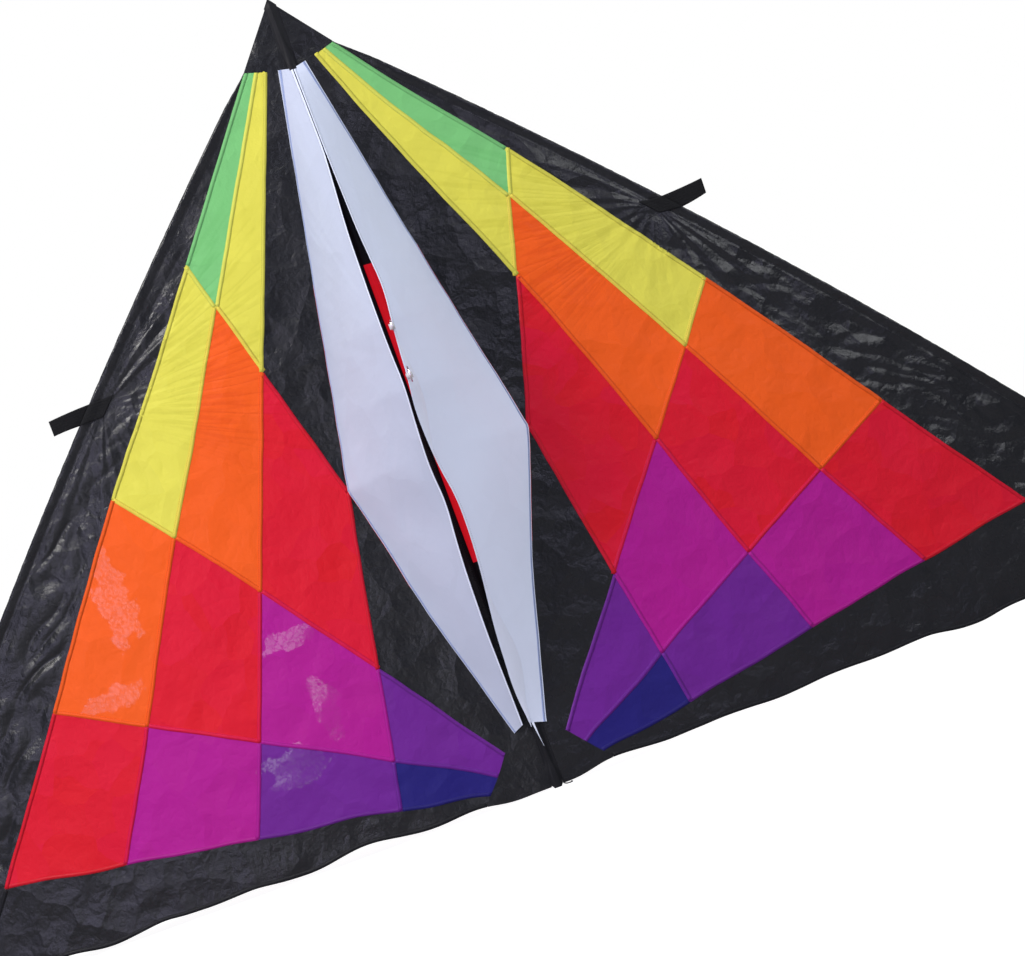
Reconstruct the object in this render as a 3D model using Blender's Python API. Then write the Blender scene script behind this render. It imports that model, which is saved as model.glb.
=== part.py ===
"""Delta kite: a patchwork sail with a hollow double keel, a spine, two leading edge spars and a spreader.

Metres. +X is to the right as seen from the keel side, +Y points away from the viewer and +Z runs up the
spine. The kite stands upright on three end caps, with its keel facing -Y and its wings swept back.
"""

import math

import bmesh
import bpy
from mathutils import Vector

# Clearances and cloth
FIT = 0.0003  # gap between pieces that touch
SEAM_GAP = 0.0004  # gap between two panels of the sail
CLOTH = 0.0005  # thickness of a sail or keel panel
BEND_STEP = 0.14  # width of the flat strips that follow the wing's curve

# Sail outline, seen from the front
SAIL_HEIGHT = 1.750  # nose tip to trailing edge, along the spine
TAIL_CLEARANCE = 0.016  # trailing edge above the floor
EDGE_START = 0.036  # the leading edges meet this far below the nose tip
EDGE_SLOPE = 1.073  # leading edge at the nose, metres out per metre down
EDGE_BOW_RADIUS = 6.28  # of the leading edge's outward bow
WING_SWEEP = 0.10  # backward slope of a wing at the spine
WING_BOW_RADIUS = 5.0  # of the wing's backward curve

# Seams and patches
NOSE_SEAM_STEP = 0.19  # the seams from the nose have slopes of one to four times this
TAIL_SEAM_SLOPES = (0.276, 0.755, 1.875, 6.1)  # seams from the tail, metres out per metre up
BAND_LEAST_WIDTH = 0.020  # leading edge band where it is narrowest
NOSE_PATCH_DEPTH = 0.161
NOSE_PATCH_RISE = 0.36  # metres up per metre out, along the patch's lower edge
TAIL_PATCH_HEIGHT = 0.119
TAIL_PATCH_SHOULDER = 0.066
TAIL_PATCH_WIDTH = 0.140

# Spine and its pocket
SPINE_RADIUS = 0.005
POCKET_HALF_WIDTH = 0.014
POCKET_WALL = 0.0008
SPINE_BELOW_NOSE = 0.020
BEAK_HALF_WIDTH = 0.0025
HINGE_MARGIN = 0.001  # fold line outside the pocket's edge

# Leading edge spar and sleeve
SPAR_RADIUS = 0.004
SLEEVE_WALL = 0.0008
EDGE_STATIONS = 15
ROUND_SIDES = 12

# End caps
CAP_WALL = 0.0030
CAP_FLOOR = 0.0040
SPINE_CAP_LENGTH = 0.030

# Spreader and its hooks
SPREADER_DROP = 0.683  # below the nose tip
SPREADER_RADIUS = 0.005
SOCKET_WALL = 0.002
SOCKET_LENGTH = 0.055
SOCKET_FLOOR = 0.004
HOOK_WALL = 0.0035
HOOK_LENGTH = 0.030
HOOK_OVERLAP = 0.0025  # how far the socket sinks into the saddle
HOOK_FROM = math.radians(70)
HOOK_TO = math.radians(165)
HOOK_STEPS = 10

# Webbing straps on the leading edges
STRAP_WIDTH = 0.036
STRAP_REACH = 0.082
STRAP_THICKNESS = 0.002

# Keel and tow points
KEEL_TOP = 0.158  # below the nose tip
KEEL_FOOT = 0.121  # above the trailing edge
KEEL_DEPTH = 0.240
KEEL_LIFT = 0.004  # the keel's ends stand this far off the pocket
KEEL_BULGE = 0.010
KEEL_STATIONS = 26
KEEL_STEPS = 6
SLIT_LEAST = 0.003  # half width of the slit at the tow points
SLIT_SHUT = 0.0008  # half width where the free edges meet
UPPER_SLIT = 0.0125  # the slit's half width grows by this above the tow points
UPPER_SLIT_START = 0.332
LOWER_SLIT = 0.0140  # and by this below them
LOWER_SLIT_END = 1.450
FOOT_SLIT = 0.0050  # and by this towards the keel's foot
FOOT_SLIT_START = 1.100
TOW_DROPS = (0.773, 0.878)
TOW_FLAT = 0.020  # the ridge runs level this far past each tow point
TAB_THICKNESS = 0.0012
TAB_HEIGHT = 0.012
TAB_FOOT = 0.028
TAB_FIT = 0.0005
TAB_BORE = 0.0045
TAB_NECK = 0.006
TAB_ARC_STEPS = 8
RING_RADII = (0.011, 0.016)
RING_WIRE = 0.0015
RING_STEPS = 28
WIRE_SIDES = 8

# Tail cord
CORD_RADIUS = 0.00125
CORD_STEP = 0.006
CORD_ROUTE = (
    (0.0106, 0.0000, 0.0300),
    (0.0106, -0.0002, 0.0220),
    (0.0108, -0.0015, 0.0130),
    (0.0128, -0.0050, 0.0062),
    (0.0175, -0.0095, 0.0026),
    (0.0235, -0.0120, 0.0016),
    (0.0290, -0.0125, 0.0016),
)

# Sizes that follow from the ones above
TAIL_Z = TAIL_CLEARANCE
NOSE_Z = TAIL_Z + SAIL_HEIGHT
NOSE = Vector((0, NOSE_Z))
TAIL = Vector((0, TAIL_Z))
WING_EDGE = POCKET_HALF_WIDTH + FIT
HINGE_X = POCKET_HALF_WIDTH + HINGE_MARGIN
POCKET_DEPTH = SPINE_RADIUS + FIT + POCKET_WALL
SLEEVE_BORE = SPAR_RADIUS + FIT
SLEEVE_RADIUS = SLEEVE_BORE + SLEEVE_WALL
SADDLE_BORE = SLEEVE_RADIUS + FIT
SPREADER_Z = NOSE_Z - SPREADER_DROP
BLANK_REACH = EDGE_SLOPE * SAIL_HEIGHT
KEEL_BOTTOM = SAIL_HEIGHT - KEEL_FOOT

# Colours of the cloth and fittings
COLOURS = {
    "black": (0.012, 0.012, 0.015),
    "white": (0.72, 0.74, 0.80),
    "green": (0.10, 0.68, 0.12),
    "yellow": (0.90, 0.72, 0.02),
    "orange": (0.93, 0.16, 0.01),
    "red": (0.62, 0.006, 0.012),
    "magenta": (0.38, 0.008, 0.26),
    "violet": (0.13, 0.012, 0.30),
    "blue": (0.012, 0.010, 0.22),
    "rod": (0.020, 0.020, 0.022),
    "webbing": (0.015, 0.015, 0.017),
    "moulding": (0.030, 0.030, 0.033),
    "steel": (0.70, 0.71, 0.73),
}
ROUGHNESS = {"rod": 0.30, "webbing": 0.75, "moulding": 0.50, "steel": 0.22}
CLOTH_ROUGHNESS = 0.38

# Panels of one wing by row, from the leading edge to the spine
PANEL_ROWS = (
    (("green_nose_panel", "green"), ("yellow_nose_panel", "yellow"), ("black_nose_panel", "black")),
    (
        ("yellow_edge_panel", "yellow"),
        ("orange_upper_panel", "orange"),
        ("red_upper_panel", "red"),
        ("black_keel_side_panel", "black"),
    ),
    (
        ("orange_edge_panel", "orange"),
        ("red_middle_panel", "red"),
        ("magenta_upper_panel", "magenta"),
        ("violet_inner_panel", "violet"),
    ),
    (
        ("red_edge_panel", "red"),
        ("magenta_lower_panel", "magenta"),
        ("violet_lower_panel", "violet"),
        ("blue_panel", "blue"),
    ),
)
NOSE_SEAMS = 4

pivots = {}
materials = {}


def clear_scene():
    for thing in list(bpy.data.objects):
        bpy.data.objects.remove(thing, do_unlink=True)


def material_of(colour):
    """One Principled material per colour."""
    if colour not in materials:
        material = bpy.data.materials.new(colour)
        material.use_nodes = True
        shader = material.node_tree.nodes["Principled BSDF"]
        shader.inputs["Base Color"].default_value = (*COLOURS[colour], 1)
        shader.inputs["Roughness"].default_value = ROUGHNESS.get(colour, CLOTH_ROUGHNESS)
        shader.inputs["Metallic"].default_value = 1.0 if colour == "steel" else 0.0
        materials[colour] = material
    return materials[colour]


def add_pivot(name, place, parent=None):
    """An empty on a joint's axis, which carries the pieces that move about it."""
    empty = bpy.data.objects.new(name, None)
    bpy.context.scene.collection.objects.link(empty)
    place = Vector(place)
    pivots[name] = (empty, place)
    if parent:
        empty.parent = pivots[parent][0]
        empty.location = place - pivots[parent][1]
    else:
        empty.location = place
    return empty


def add_part(name, shape, colour, pivot, sharp_angle=math.radians(35)):
    """A named object from points in the kite's own frame, carried by a pivot."""
    points, faces = shape
    carrier, place = pivots[pivot]
    mesh = bpy.data.meshes.new(name)
    form = bmesh.new()
    corners = [form.verts.new(Vector(point) - place) for point in points]
    for face in faces:
        form.faces.new([corners[index] for index in face])
    bmesh.ops.recalc_face_normals(form, faces=form.faces)
    form.to_mesh(mesh)
    form.free()
    mesh.shade_smooth()
    mesh.set_sharp_from_angle(angle=sharp_angle)
    mesh.materials.append(material_of(colour))
    part = bpy.data.objects.new(name, mesh)
    bpy.context.scene.collection.objects.link(part)
    part.parent = carrier
    return part


def mirrored(shape, side):
    """The shape itself on the right, and its mirror image on the left."""
    points, faces = shape
    return [Vector((side * p[0], p[1], p[2])) for p in points], faces


# Shape of the sail
def sail_y(x):
    """How far back the sail lies at a distance from the middle."""
    reach = max(0.0, abs(x) - HINGE_X)
    return WING_SWEEP * reach + reach * reach / (2 * WING_BOW_RADIUS)


def sail_slope(x):
    return WING_SWEEP + max(0.0, abs(x) - HINGE_X) / WING_BOW_RADIUS


def edge_x(z):
    """Leading edge's distance from the middle at a height."""
    drop = NOSE_Z - z - EDGE_START
    return EDGE_SLOPE * drop - drop * drop / (2 * EDGE_BOW_RADIUS)


def edge_slope(z):
    return EDGE_SLOPE - (NOSE_Z - z - EDGE_START) / EDGE_BOW_RADIUS


def edge_point(z):
    x = edge_x(z)
    return Vector((x, sail_y(x), z))


def solve(function, low, high):
    """Where a rising function passes zero."""
    for _ in range(60):
        middle = (low + high) / 2
        if function(middle) < 0:
            low = middle
        else:
            high = middle
    return (low + high) / 2


def patch_line_z(x):
    """Lower edge of the nose patch."""
    return NOSE_Z - NOSE_PATCH_DEPTH + NOSE_PATCH_RISE * x


def outer_seam_x(z):
    return NOSE_SEAMS * NOSE_SEAM_STEP * (NOSE_Z - z)


def band_start_z():
    """Where the leading edge leaves the nose patch."""
    return solve(lambda z: z - patch_line_z(edge_x(z)), TAIL_Z, NOSE_Z - EDGE_START)


def patch_corner():
    """Where the nose patch meets the leading edge and its band."""
    z = band_start_z()
    return Vector((edge_x(z), z))


def band_full_z():
    """Where the leading edge band first reaches in to the outer seam."""
    top = band_start_z()
    return solve(lambda z: BAND_LEAST_WIDTH + SEAM_GAP + outer_seam_x(z) - edge_x(z), TAIL_Z, top)


def band_inner_x(z):
    return min(outer_seam_x(z) + SEAM_GAP, edge_x(z) - BAND_LEAST_WIDTH)


def band_corner():
    """The band's inner corner under the nose patch."""
    z = band_start_z() - SEAM_GAP
    x = band_inner_x(z)
    return Vector((x, z + NOSE_PATCH_RISE * (x - edge_x(z))))


# Flat outlines
def clip(outline, point, heading, inset=SEAM_GAP / 2):
    """Keeps the part of a convex outline to the left of a line, drawn back from it by the inset."""
    normal = Vector((-heading[1], heading[0])).normalized()
    kept = []
    for here, there in zip(outline, outline[1:] + outline[:1]):
        near = (here - point).dot(normal) - inset
        far = (there - point).dot(normal) - inset
        if near >= 0:
            kept.append(here)
        if (near < 0) != (far < 0):
            kept.append(here.lerp(there, near / (near - far)))
    return kept


def wing_blank():
    return [
        Vector((WING_EDGE, TAIL_Z)),
        Vector((BLANK_REACH, TAIL_Z)),
        Vector((BLANK_REACH, NOSE_Z)),
        Vector((WING_EDGE, NOSE_Z)),
    ]


def inside_nose_seam(outline, count):
    return clip(outline, NOSE, (-count * NOSE_SEAM_STEP, 1))


def outside_nose_seam(outline, count):
    return clip(outline, NOSE, (count * NOSE_SEAM_STEP, -1))


def above_tail_seam(outline, row):
    return clip(outline, TAIL, (TAIL_SEAM_SLOPES[row], 1))


def below_tail_seam(outline, row):
    return clip(outline, TAIL, (-TAIL_SEAM_SLOPES[row], -1))


def above_patch_line(outline):
    return clip(outline, Vector((0, patch_line_z(0))), (1, NOSE_PATCH_RISE))


def below_patch_line(outline):
    return clip(outline, Vector((0, patch_line_z(0))), (-1, -NOSE_PATCH_RISE))


def tail_patch_corners():
    """Top, shoulder and outer corner of the tail patch. The shoulder lies on the second tail seam."""
    shoulder = Vector((TAIL_PATCH_SHOULDER, TAIL_Z + TAIL_PATCH_SHOULDER / TAIL_SEAM_SLOPES[1]))
    return Vector((0, TAIL_Z + TAIL_PATCH_HEIGHT)), shoulder, Vector((TAIL_PATCH_WIDTH, TAIL_Z))


def clear_of_tail_patch(outline, upper):
    """Cuts the patch away along its upper or its outer edge."""
    top, shoulder, corner = tail_patch_corners()
    if upper:
        return clip(outline, shoulder, shoulder - top)
    return clip(outline, shoulder, corner - shoulder)


def panel_outline(row, column):
    outer = NOSE_SEAMS - column
    outline = below_patch_line(inside_nose_seam(wing_blank(), outer))
    if outer > 1:
        outline = outside_nose_seam(outline, outer - 1)
    outline = above_tail_seam(outline, row)
    if row > 0:
        outline = below_tail_seam(outline, row - 1)
    if (row, column) == (0, 0):
        full = Vector((band_inner_x(band_full_z()), band_full_z()))
        outline = clip(outline, full, band_corner() - full, SEAM_GAP)
    if outer == 1:
        outline = clear_of_tail_patch(outline, upper=row < 2)
    return outline


def trailing_band_outline():
    outline = below_tail_seam(inside_nose_seam(wing_blank(), NOSE_SEAMS), len(TAIL_SEAM_SLOPES) - 1)
    return clear_of_tail_patch(outline, upper=False)


def nose_patch_outline():
    """Its outer edge runs straight from the nose tip to the leading edge band."""
    return clip(above_patch_line(wing_blank()), NOSE, NOSE - patch_corner(), 0)


def tail_patch_outline():
    top, shoulder, corner = tail_patch_corners()
    outline = clip(wing_blank(), shoulder, top - shoulder)
    return clip(outline, shoulder, shoulder - corner)


# Solids
def sheet(outline):
    """Cloth with this front outline, bent to the wing and given its thickness."""
    places = {}
    points = []
    strips = []
    low = min(p.x for p in outline)
    high = max(p.x for p in outline)
    for step in range(math.floor(low / BEND_STEP), math.ceil(high / BEND_STEP)):
        strip = clip(outline, Vector((step * BEND_STEP, 0)), (0, -1), 0)
        strip = clip(strip, Vector(((step + 1) * BEND_STEP, 0)), (0, 1), 0) if strip else []
        corners = []
        for p in strip:
            key = (round(p.x, 6), round(p.y, 6))
            if key not in places:
                places[key] = len(points)
                points.append(Vector((p.x, sail_y(p.x), p.y)))
            if places[key] not in corners:
                corners.append(places[key])
        if len(corners) > 2:
            strips.append(tuple(corners))
    return thicken(points, strips, [Vector((0, CLOTH / 2, 0))] * len(points))


def thicken(points, faces, offsets):
    """A closed solid of two skins, one on each side of a surface."""
    count = len(points)
    edges = {(a, b) for face in faces for a, b in zip(face, face[1:] + face[:1])}
    solid = [p - offset for p, offset in zip(points, offsets)]
    solid += [p + offset for p, offset in zip(points, offsets)]
    skins = list(faces) + [tuple(index + count for index in reversed(face)) for face in faces]
    rim = [(b, a, a + count, b + count) for a, b in edges if (b, a) not in edges]
    return solid, skins + rim


def cut_quad(a, b, c, d):
    """Two triangles that meet along the diagonal from the first corner."""
    return [(a, b, c), (a, c, d)]


def loft(rings):
    """A closed solid through a row of rings, capped at both ends."""
    count = len(rings[0])
    points = [point for ring in rings for point in ring]
    faces = [tuple(range(count)), tuple(range(len(points) - count, len(points)))]
    for start in range(0, len(points) - count, count):
        for k in range(count):
            after = (k + 1) % count
            faces.append((start + k, start + after, start + count + after, start + count + k))
    return points, faces


def edge_frame(z):
    """A point on the leading edge, with the directions down along it, outwards across it, and back."""
    centre = edge_point(z)
    slope = edge_slope(z)
    along = Vector((slope, sail_slope(centre.x) * slope, -1)).normalized()
    out = along.cross(Vector((0, 1, 0))).normalized()
    return centre, along, out, out.cross(along)


def edge_ring(z, radius, tilt=0.0):
    """A level slice of a round bar on the leading edge, or one that rises outwards by the tilt."""
    centre, along, out, back = edge_frame(z)
    ring = []
    for step in range(ROUND_SIDES):
        turn = math.pi - math.pi * (2 * step + 1) / ROUND_SIDES
        spoke = (out * math.cos(turn) - back * math.sin(turn)) * radius
        slide = (tilt * spoke.x - spoke.z) / (along.z - tilt * along.x)
        ring.append(centre + spoke + along * slide)
    return ring


def edge_heights():
    """Heights of the slices down the leading edge, from the nose patch to the trailing edge."""
    full = band_full_z()
    step = (full - TAIL_Z) / EDGE_STATIONS
    hook = [SPREADER_Z + k * HOOK_LENGTH for k in (1, 0, -1)]
    steps = [full - step * k for k in range(1, EDGE_STATIONS)]
    kept = [z for z in steps if all(abs(z - near) > step / 3 for near in hook)]
    return [band_start_z() - SEAM_GAP, full, *sorted(kept + hook, reverse=True), TAIL_Z]


def leading_band():
    """The band's sheet and the sleeve round the spar, as one piece of folded cloth.

    Both skins are cut along the same diagonals, so that the thin sheet keeps its thickness where it twists.
    """
    points = []
    faces = []
    size = 2 * ROUND_SIDES + 2
    heights = edge_heights()
    for index, z in enumerate(heights):
        tilt = NOSE_PATCH_RISE if index == 0 else 0.0
        sleeve = edge_ring(z, SLEEVE_RADIUS, tilt)
        inner = band_corner() if index == 0 else Vector((band_inner_x(z), z))
        for side in (1, -1):
            points.append(Vector((inner.x, sail_y(inner.x) + side * CLOTH / 2, inner.y)))
        points += sleeve + edge_ring(z, SLEEVE_BORE, tilt)
    skin = list(range(ROUND_SIDES + 2))
    bore = list(range(ROUND_SIDES + 2, size))
    for start in range(0, len(points) - size, size):
        for loop in (skin, bore):
            for here, after in zip(loop, loop[1:] + loop[:1]):
                quad = (start + here, start + after, start + size + after, start + size + here)
                faces += cut_quad(*quad[1:], quad[0]) if after == 0 else cut_quad(*quad)
    for start in (0, len(points) - size):
        faces.append(tuple(start + index for index in (0, 1, skin[2], skin[-1])))
        for k in range(ROUND_SIDES):
            after = (k + 1) % ROUND_SIDES
            faces.append((start + skin[2 + k], start + skin[2 + after], start + bore[after], start + bore[k]))
    return points, faces


def spar():
    heights = edge_heights()[1:] + [CAP_FLOOR + FIT]
    return loft([edge_ring(z, SPAR_RADIUS) for z in heights])


def tip_cap():
    """A cup on the spar's lower end, cut level so that the kite stands on it."""
    top = TAIL_Z - FIT
    outer = SPAR_RADIUS + FIT + CAP_WALL
    bore = SPAR_RADIUS + FIT
    return loft([edge_ring(z, r) for z, r in ((0, outer), (top, outer), (top, bore), (CAP_FLOOR, bore))])


def oval(z, half_width, half_depth):
    turns = [2 * math.pi * step / ROUND_SIDES for step in range(ROUND_SIDES)]
    return [Vector((half_width * math.cos(t), half_depth * math.sin(t), z)) for t in turns]


def spine_top():
    return NOSE_Z - SPINE_BELOW_NOSE


def spine_rod():
    return loft([oval(z, SPINE_RADIUS, SPINE_RADIUS) for z in (CAP_FLOOR + FIT, spine_top())])


def spine_cap():
    outer = SPINE_RADIUS + FIT + CAP_WALL
    bore = SPINE_RADIUS + FIT
    top = SPINE_CAP_LENGTH
    return loft([oval(z, r, r) for z, r in ((0, outer), (top, outer), (top, bore), (CAP_FLOOR, bore))])


def spine_pocket():
    """A flat sleeve round the spine, closed by a beak at the nose and open over the end cap."""
    bore = SPINE_RADIUS + FIT
    bottom = SPINE_CAP_LENGTH + FIT
    corner = patch_corner()
    beak = NOSE_Z - WING_EDGE * (NOSE_Z - corner.y) / corner.x
    rings = [oval(spine_top() + FIT, bore, bore), oval(bottom, bore, bore)]
    rings += [oval(z, POCKET_HALF_WIDTH, POCKET_DEPTH) for z in (bottom, beak)]
    rings.append(oval(NOSE_Z, BEAK_HALF_WIDTH, BEAK_HALF_WIDTH / 2))
    return loft(rings)


# Keel
def lobe(drop, start, end):
    """Rises smoothly from 0 to 1 and back between two places."""
    share = (drop - start) / (end - start)
    return math.sin(math.pi * share) ** 2 if 0 < share < 1 else 0.0


def ridge_ends():
    return min(TOW_DROPS) - TOW_FLAT, max(TOW_DROPS) + TOW_FLAT


def ridge_y(drop):
    """The keel's free edge stands off most at the tow points, and falls straight to both ends."""
    first, last = ridge_ends()
    rise = (drop - KEEL_TOP) / (first - KEEL_TOP)
    fall = (KEEL_BOTTOM - drop) / (KEEL_BOTTOM - last)
    return -(POCKET_DEPTH + KEEL_LIFT) - KEEL_DEPTH * max(0.0, min(1.0, rise, fall))


def slit_x(drop):
    """Half width of the slit between the two free edges."""
    first, last = ridge_ends()
    rise = (drop - UPPER_SLIT_START) / (first - UPPER_SLIT_START)
    fall = (KEEL_BOTTOM - drop) / (KEEL_BOTTOM - last)
    shut = SLIT_SHUT + (SLIT_LEAST - SLIT_SHUT) * max(0.0, min(1.0, rise, fall))
    upper = UPPER_SLIT * lobe(drop, UPPER_SLIT_START, first)
    lower = LOWER_SLIT * lobe(drop, last, LOWER_SLIT_END)
    foot = FOOT_SLIT * lobe(drop, FOOT_SLIT_START, KEEL_BOTTOM)
    return shut + upper + lower + foot


def keel_corner():
    """Drop at which the keel's seam turns from the first nose seam to the first tail seam."""
    return TAIL_SEAM_SLOPES[0] * SAIL_HEIGHT / (NOSE_SEAM_STEP + TAIL_SEAM_SLOPES[0])


def keel_point(drop, share):
    """A point of the right keel panel, from the seam on the sail (0) to the free edge (1)."""
    seam_x = min(NOSE_SEAM_STEP * drop, TAIL_SEAM_SLOPES[0] * (SAIL_HEIGHT - drop))
    z = NOSE_Z - drop
    seam = Vector((seam_x, sail_y(seam_x) - CLOTH - FIT, z))
    ridge = Vector((slit_x(drop), ridge_y(drop), z))
    away = Vector((seam.y - ridge.y, ridge.x - seam.x, 0)).normalized()
    swell = KEEL_BULGE * (-ridge.y / KEEL_DEPTH) * 4 * share * (1 - share)
    return seam.lerp(ridge, share) + away * swell


def keel_drops():
    """Even steps down the keel, and the places where its outline turns."""
    steps = [KEEL_TOP + (KEEL_BOTTOM - KEEL_TOP) * k / KEEL_STATIONS for k in range(KEEL_STATIONS + 1)]
    turns = [*ridge_ends(), keel_corner()]
    least = (KEEL_BOTTOM - KEEL_TOP) / KEEL_STATIONS / 3
    kept = [d for d in steps if all(abs(d - turn) > least for turn in turns)]
    return sorted(kept + turns)


def keel_panel():
    drops = keel_drops()
    width = KEEL_STEPS + 1
    points = [keel_point(drop, k / KEEL_STEPS) for drop in drops for k in range(width)]
    faces = []
    for row in range(len(drops) - 1):
        for k in range(KEEL_STEPS):
            corner = row * width + k
            faces += cut_quad(corner, corner + 1, corner + width + 1, corner + width)
    offsets = []
    for row in range(len(drops)):
        for k in range(width):
            before = points[row * width + max(k - 1, 0)]
            after = points[row * width + min(k + 1, KEEL_STEPS)]
            across = after - before
            offsets.append(Vector((across.y, -across.x, 0)).normalized() * (CLOTH / 2))
    return thicken(points, faces, offsets)


# Tow points
def tab_path(drop):
    """Middle line of a tow tab's right half, from its foot inside the keel to the front of its loop."""
    edge = keel_point(drop, 1).xy
    along = (edge - keel_point(drop, 1 - 1 / KEEL_STEPS).xy).normalized()
    top = edge + Vector((along.y, -along.x)) * (CLOTH / 2 + TAB_FIT + TAB_THICKNESS / 2)
    path = [top - along * TAB_FOOT, top, Vector((top.x, top.y - TAB_THICKNESS))]
    radius = TAB_BORE + TAB_THICKNESS / 2
    centre = tab_centre_y(drop)
    for step in range(TAB_ARC_STEPS + 1):
        turn = math.pi / 2 * step / TAB_ARC_STEPS
        path.append(Vector((radius * math.cos(turn), centre - radius * math.sin(turn))))
    return path


def tab_centre_y(drop):
    return ridge_y(drop) - TAB_NECK


def tow_tab(drop):
    """Webbing that joins the two keel panels across the slit, with a loop for the ring."""
    half = tab_path(drop)
    path = half + [Vector((-p.x, p.y)) for p in reversed(half[:-1])]
    z = NOSE_Z - drop
    skins = ([], [])
    for k, here in enumerate(path):
        along = path[min(k + 1, len(path) - 1)] - path[max(k - 1, 0)]
        out = Vector((-along.y, along.x)).normalized() * (TAB_THICKNESS / 2)
        skins[0].append(here - out)
        skins[1].append(here + out)
    outline = skins[0] + skins[1][::-1]
    return loft([[Vector((p.x, p.y, z + end * TAB_HEIGHT / 2)) for p in outline] for end in (-1, 1)])


def ring_axis(drop, radius):
    """Where the ring's wire passes through its tab, lying against the front of the loop."""
    sag = radius - math.sqrt(radius**2 - (TAB_HEIGHT / 2) ** 2)
    slack = TAB_BORE - FIT - RING_WIRE - sag
    return Vector((0, tab_centre_y(drop) - slack, NOSE_Z - drop))


def tow_ring(drop, radius):
    """A round wire ring in the kite's middle plane."""
    centre = ring_axis(drop, radius) - Vector((0, radius, 0))
    points = []
    faces = []
    for step in range(RING_STEPS):
        turn = 2 * math.pi * step / RING_STEPS
        out = Vector((0, math.cos(turn), math.sin(turn)))
        for k in range(WIRE_SIDES):
            spin = 2 * math.pi * k / WIRE_SIDES
            wire = out * math.cos(spin) + Vector((1, 0, 0)) * math.sin(spin)
            points.append(centre + out * radius + wire * RING_WIRE)
    for step in range(RING_STEPS):
        here = step * WIRE_SIDES
        there = (step + 1) % RING_STEPS * WIRE_SIDES
        for k in range(WIRE_SIDES):
            after = (k + 1) % WIRE_SIDES
            faces.append((here + k, here + after, there + after, there + k))
    return points, faces


# Spreader, hooks and straps
def spreader_line():
    """A point on the spreader's axis, level with the right hook."""
    centre = edge_point(SPREADER_Z)
    socket = SPREADER_RADIUS + FIT + SOCKET_WALL
    return centre + Vector((0, SADDLE_BORE + HOOK_WALL - HOOK_OVERLAP + socket, 0))


def bar(start, end, radius):
    """A round bar along X."""
    turns = [2 * math.pi * (k + 0.5) / ROUND_SIDES for k in range(ROUND_SIDES)]
    circle = [Vector((0, radius * math.cos(t), radius * math.sin(t))) for t in turns]
    return loft([[start + p for p in circle], [end + p for p in circle]])


def saddle():
    """The hook's open half round, which bears on the sleeve from behind."""
    centre, along, out, back = edge_frame(SPREADER_Z)
    turns = [HOOK_FROM + (HOOK_TO - HOOK_FROM) * k / HOOK_STEPS for k in range(HOOK_STEPS + 1)]
    outline = [(SADDLE_BORE / math.cos(math.pi / ROUND_SIDES), t) for t in turns]
    outline += [(SADDLE_BORE + HOOK_WALL, t) for t in reversed(turns)]
    rings = []
    for end in (-1, 1):
        middle = centre + along * (end * HOOK_LENGTH / 2)
        rings.append([middle + out * (r * math.cos(t)) + back * (r * math.sin(t)) for r, t in outline])
    return loft(rings)


def add_helper(name, shape, pivot):
    """A hidden solid that a Boolean joins to a part or cuts from it."""
    helper = add_part(name, shape, "moulding", pivot)
    helper.hide_render = True
    helper.display_type = "WIRE"
    return helper


def add_boolean(part, helper, operation):
    cut = part.modifiers.new(operation.lower(), "BOOLEAN")
    cut.operation = operation
    cut.solver = "EXACT"
    cut.object = helper


def add_hook(name, side):
    axis = spreader_line()
    mouth = axis - Vector((SOCKET_LENGTH, 0, 0))
    end = axis + Vector((SOCKET_FLOOR, 0, 0))
    beyond = mouth - Vector((SOCKET_WALL, 0, 0))
    hook = add_part(name, mirrored(saddle(), side), "moulding", "spreader")
    socket = mirrored(bar(mouth, end, SPREADER_RADIUS + FIT + SOCKET_WALL), side)
    bore = mirrored(bar(beyond, axis, SPREADER_RADIUS + FIT), side)
    add_boolean(hook, add_helper(name + "_socket", socket, "spreader"), "UNION")
    add_boolean(hook, add_helper(name + "_bore", bore, "spreader"), "DIFFERENCE")


def spreader_rod():
    end = spreader_line() - Vector((FIT, 0, 0))
    return bar(Vector((-end.x, end.y, end.z)), end, SPREADER_RADIUS)


def strap():
    """A flat webbing tab in line with the spreader, whose root follows the leading edge."""
    centre = edge_point(SPREADER_Z)
    lean = (edge_point(SPREADER_Z + STRAP_WIDTH).y - centre.y) / STRAP_WIDTH
    points = []
    for z in (SPREADER_Z - STRAP_WIDTH / 2, SPREADER_Z + STRAP_WIDTH / 2):
        root = edge_x(z) + (SLEEVE_RADIUS + FIT) * math.hypot(1, edge_slope(z))
        y = centre.y + lean * (z - SPREADER_Z)
        points += [Vector((root, y, z)), Vector((centre.x + STRAP_REACH, y, z))]
    return thicken(points, [(0, 1, 3, 2)], [Vector((0, STRAP_THICKNESS / 2, 0))] * len(points))


# Tail cord
def smooth_route(route, step):
    """Points at even steps along a smooth curve through the route's own points."""
    route = [Vector(p) for p in route]
    padded = [2 * route[0] - route[1], *route, 2 * route[-1] - route[-2]]
    line = []
    for a, b, c, d in zip(padded, padded[1:], padded[2:], padded[3:]):
        count = max(1, round((c - b).length / step))
        square = 2 * a - 5 * b + 4 * c - d
        cube = 3 * b - a - 3 * c + d
        for k in range(count):
            t = k / count
            line.append((2 * b + (c - a) * t + square * t**2 + cube * t**3) / 2)
    return line + [route[-1]]


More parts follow.
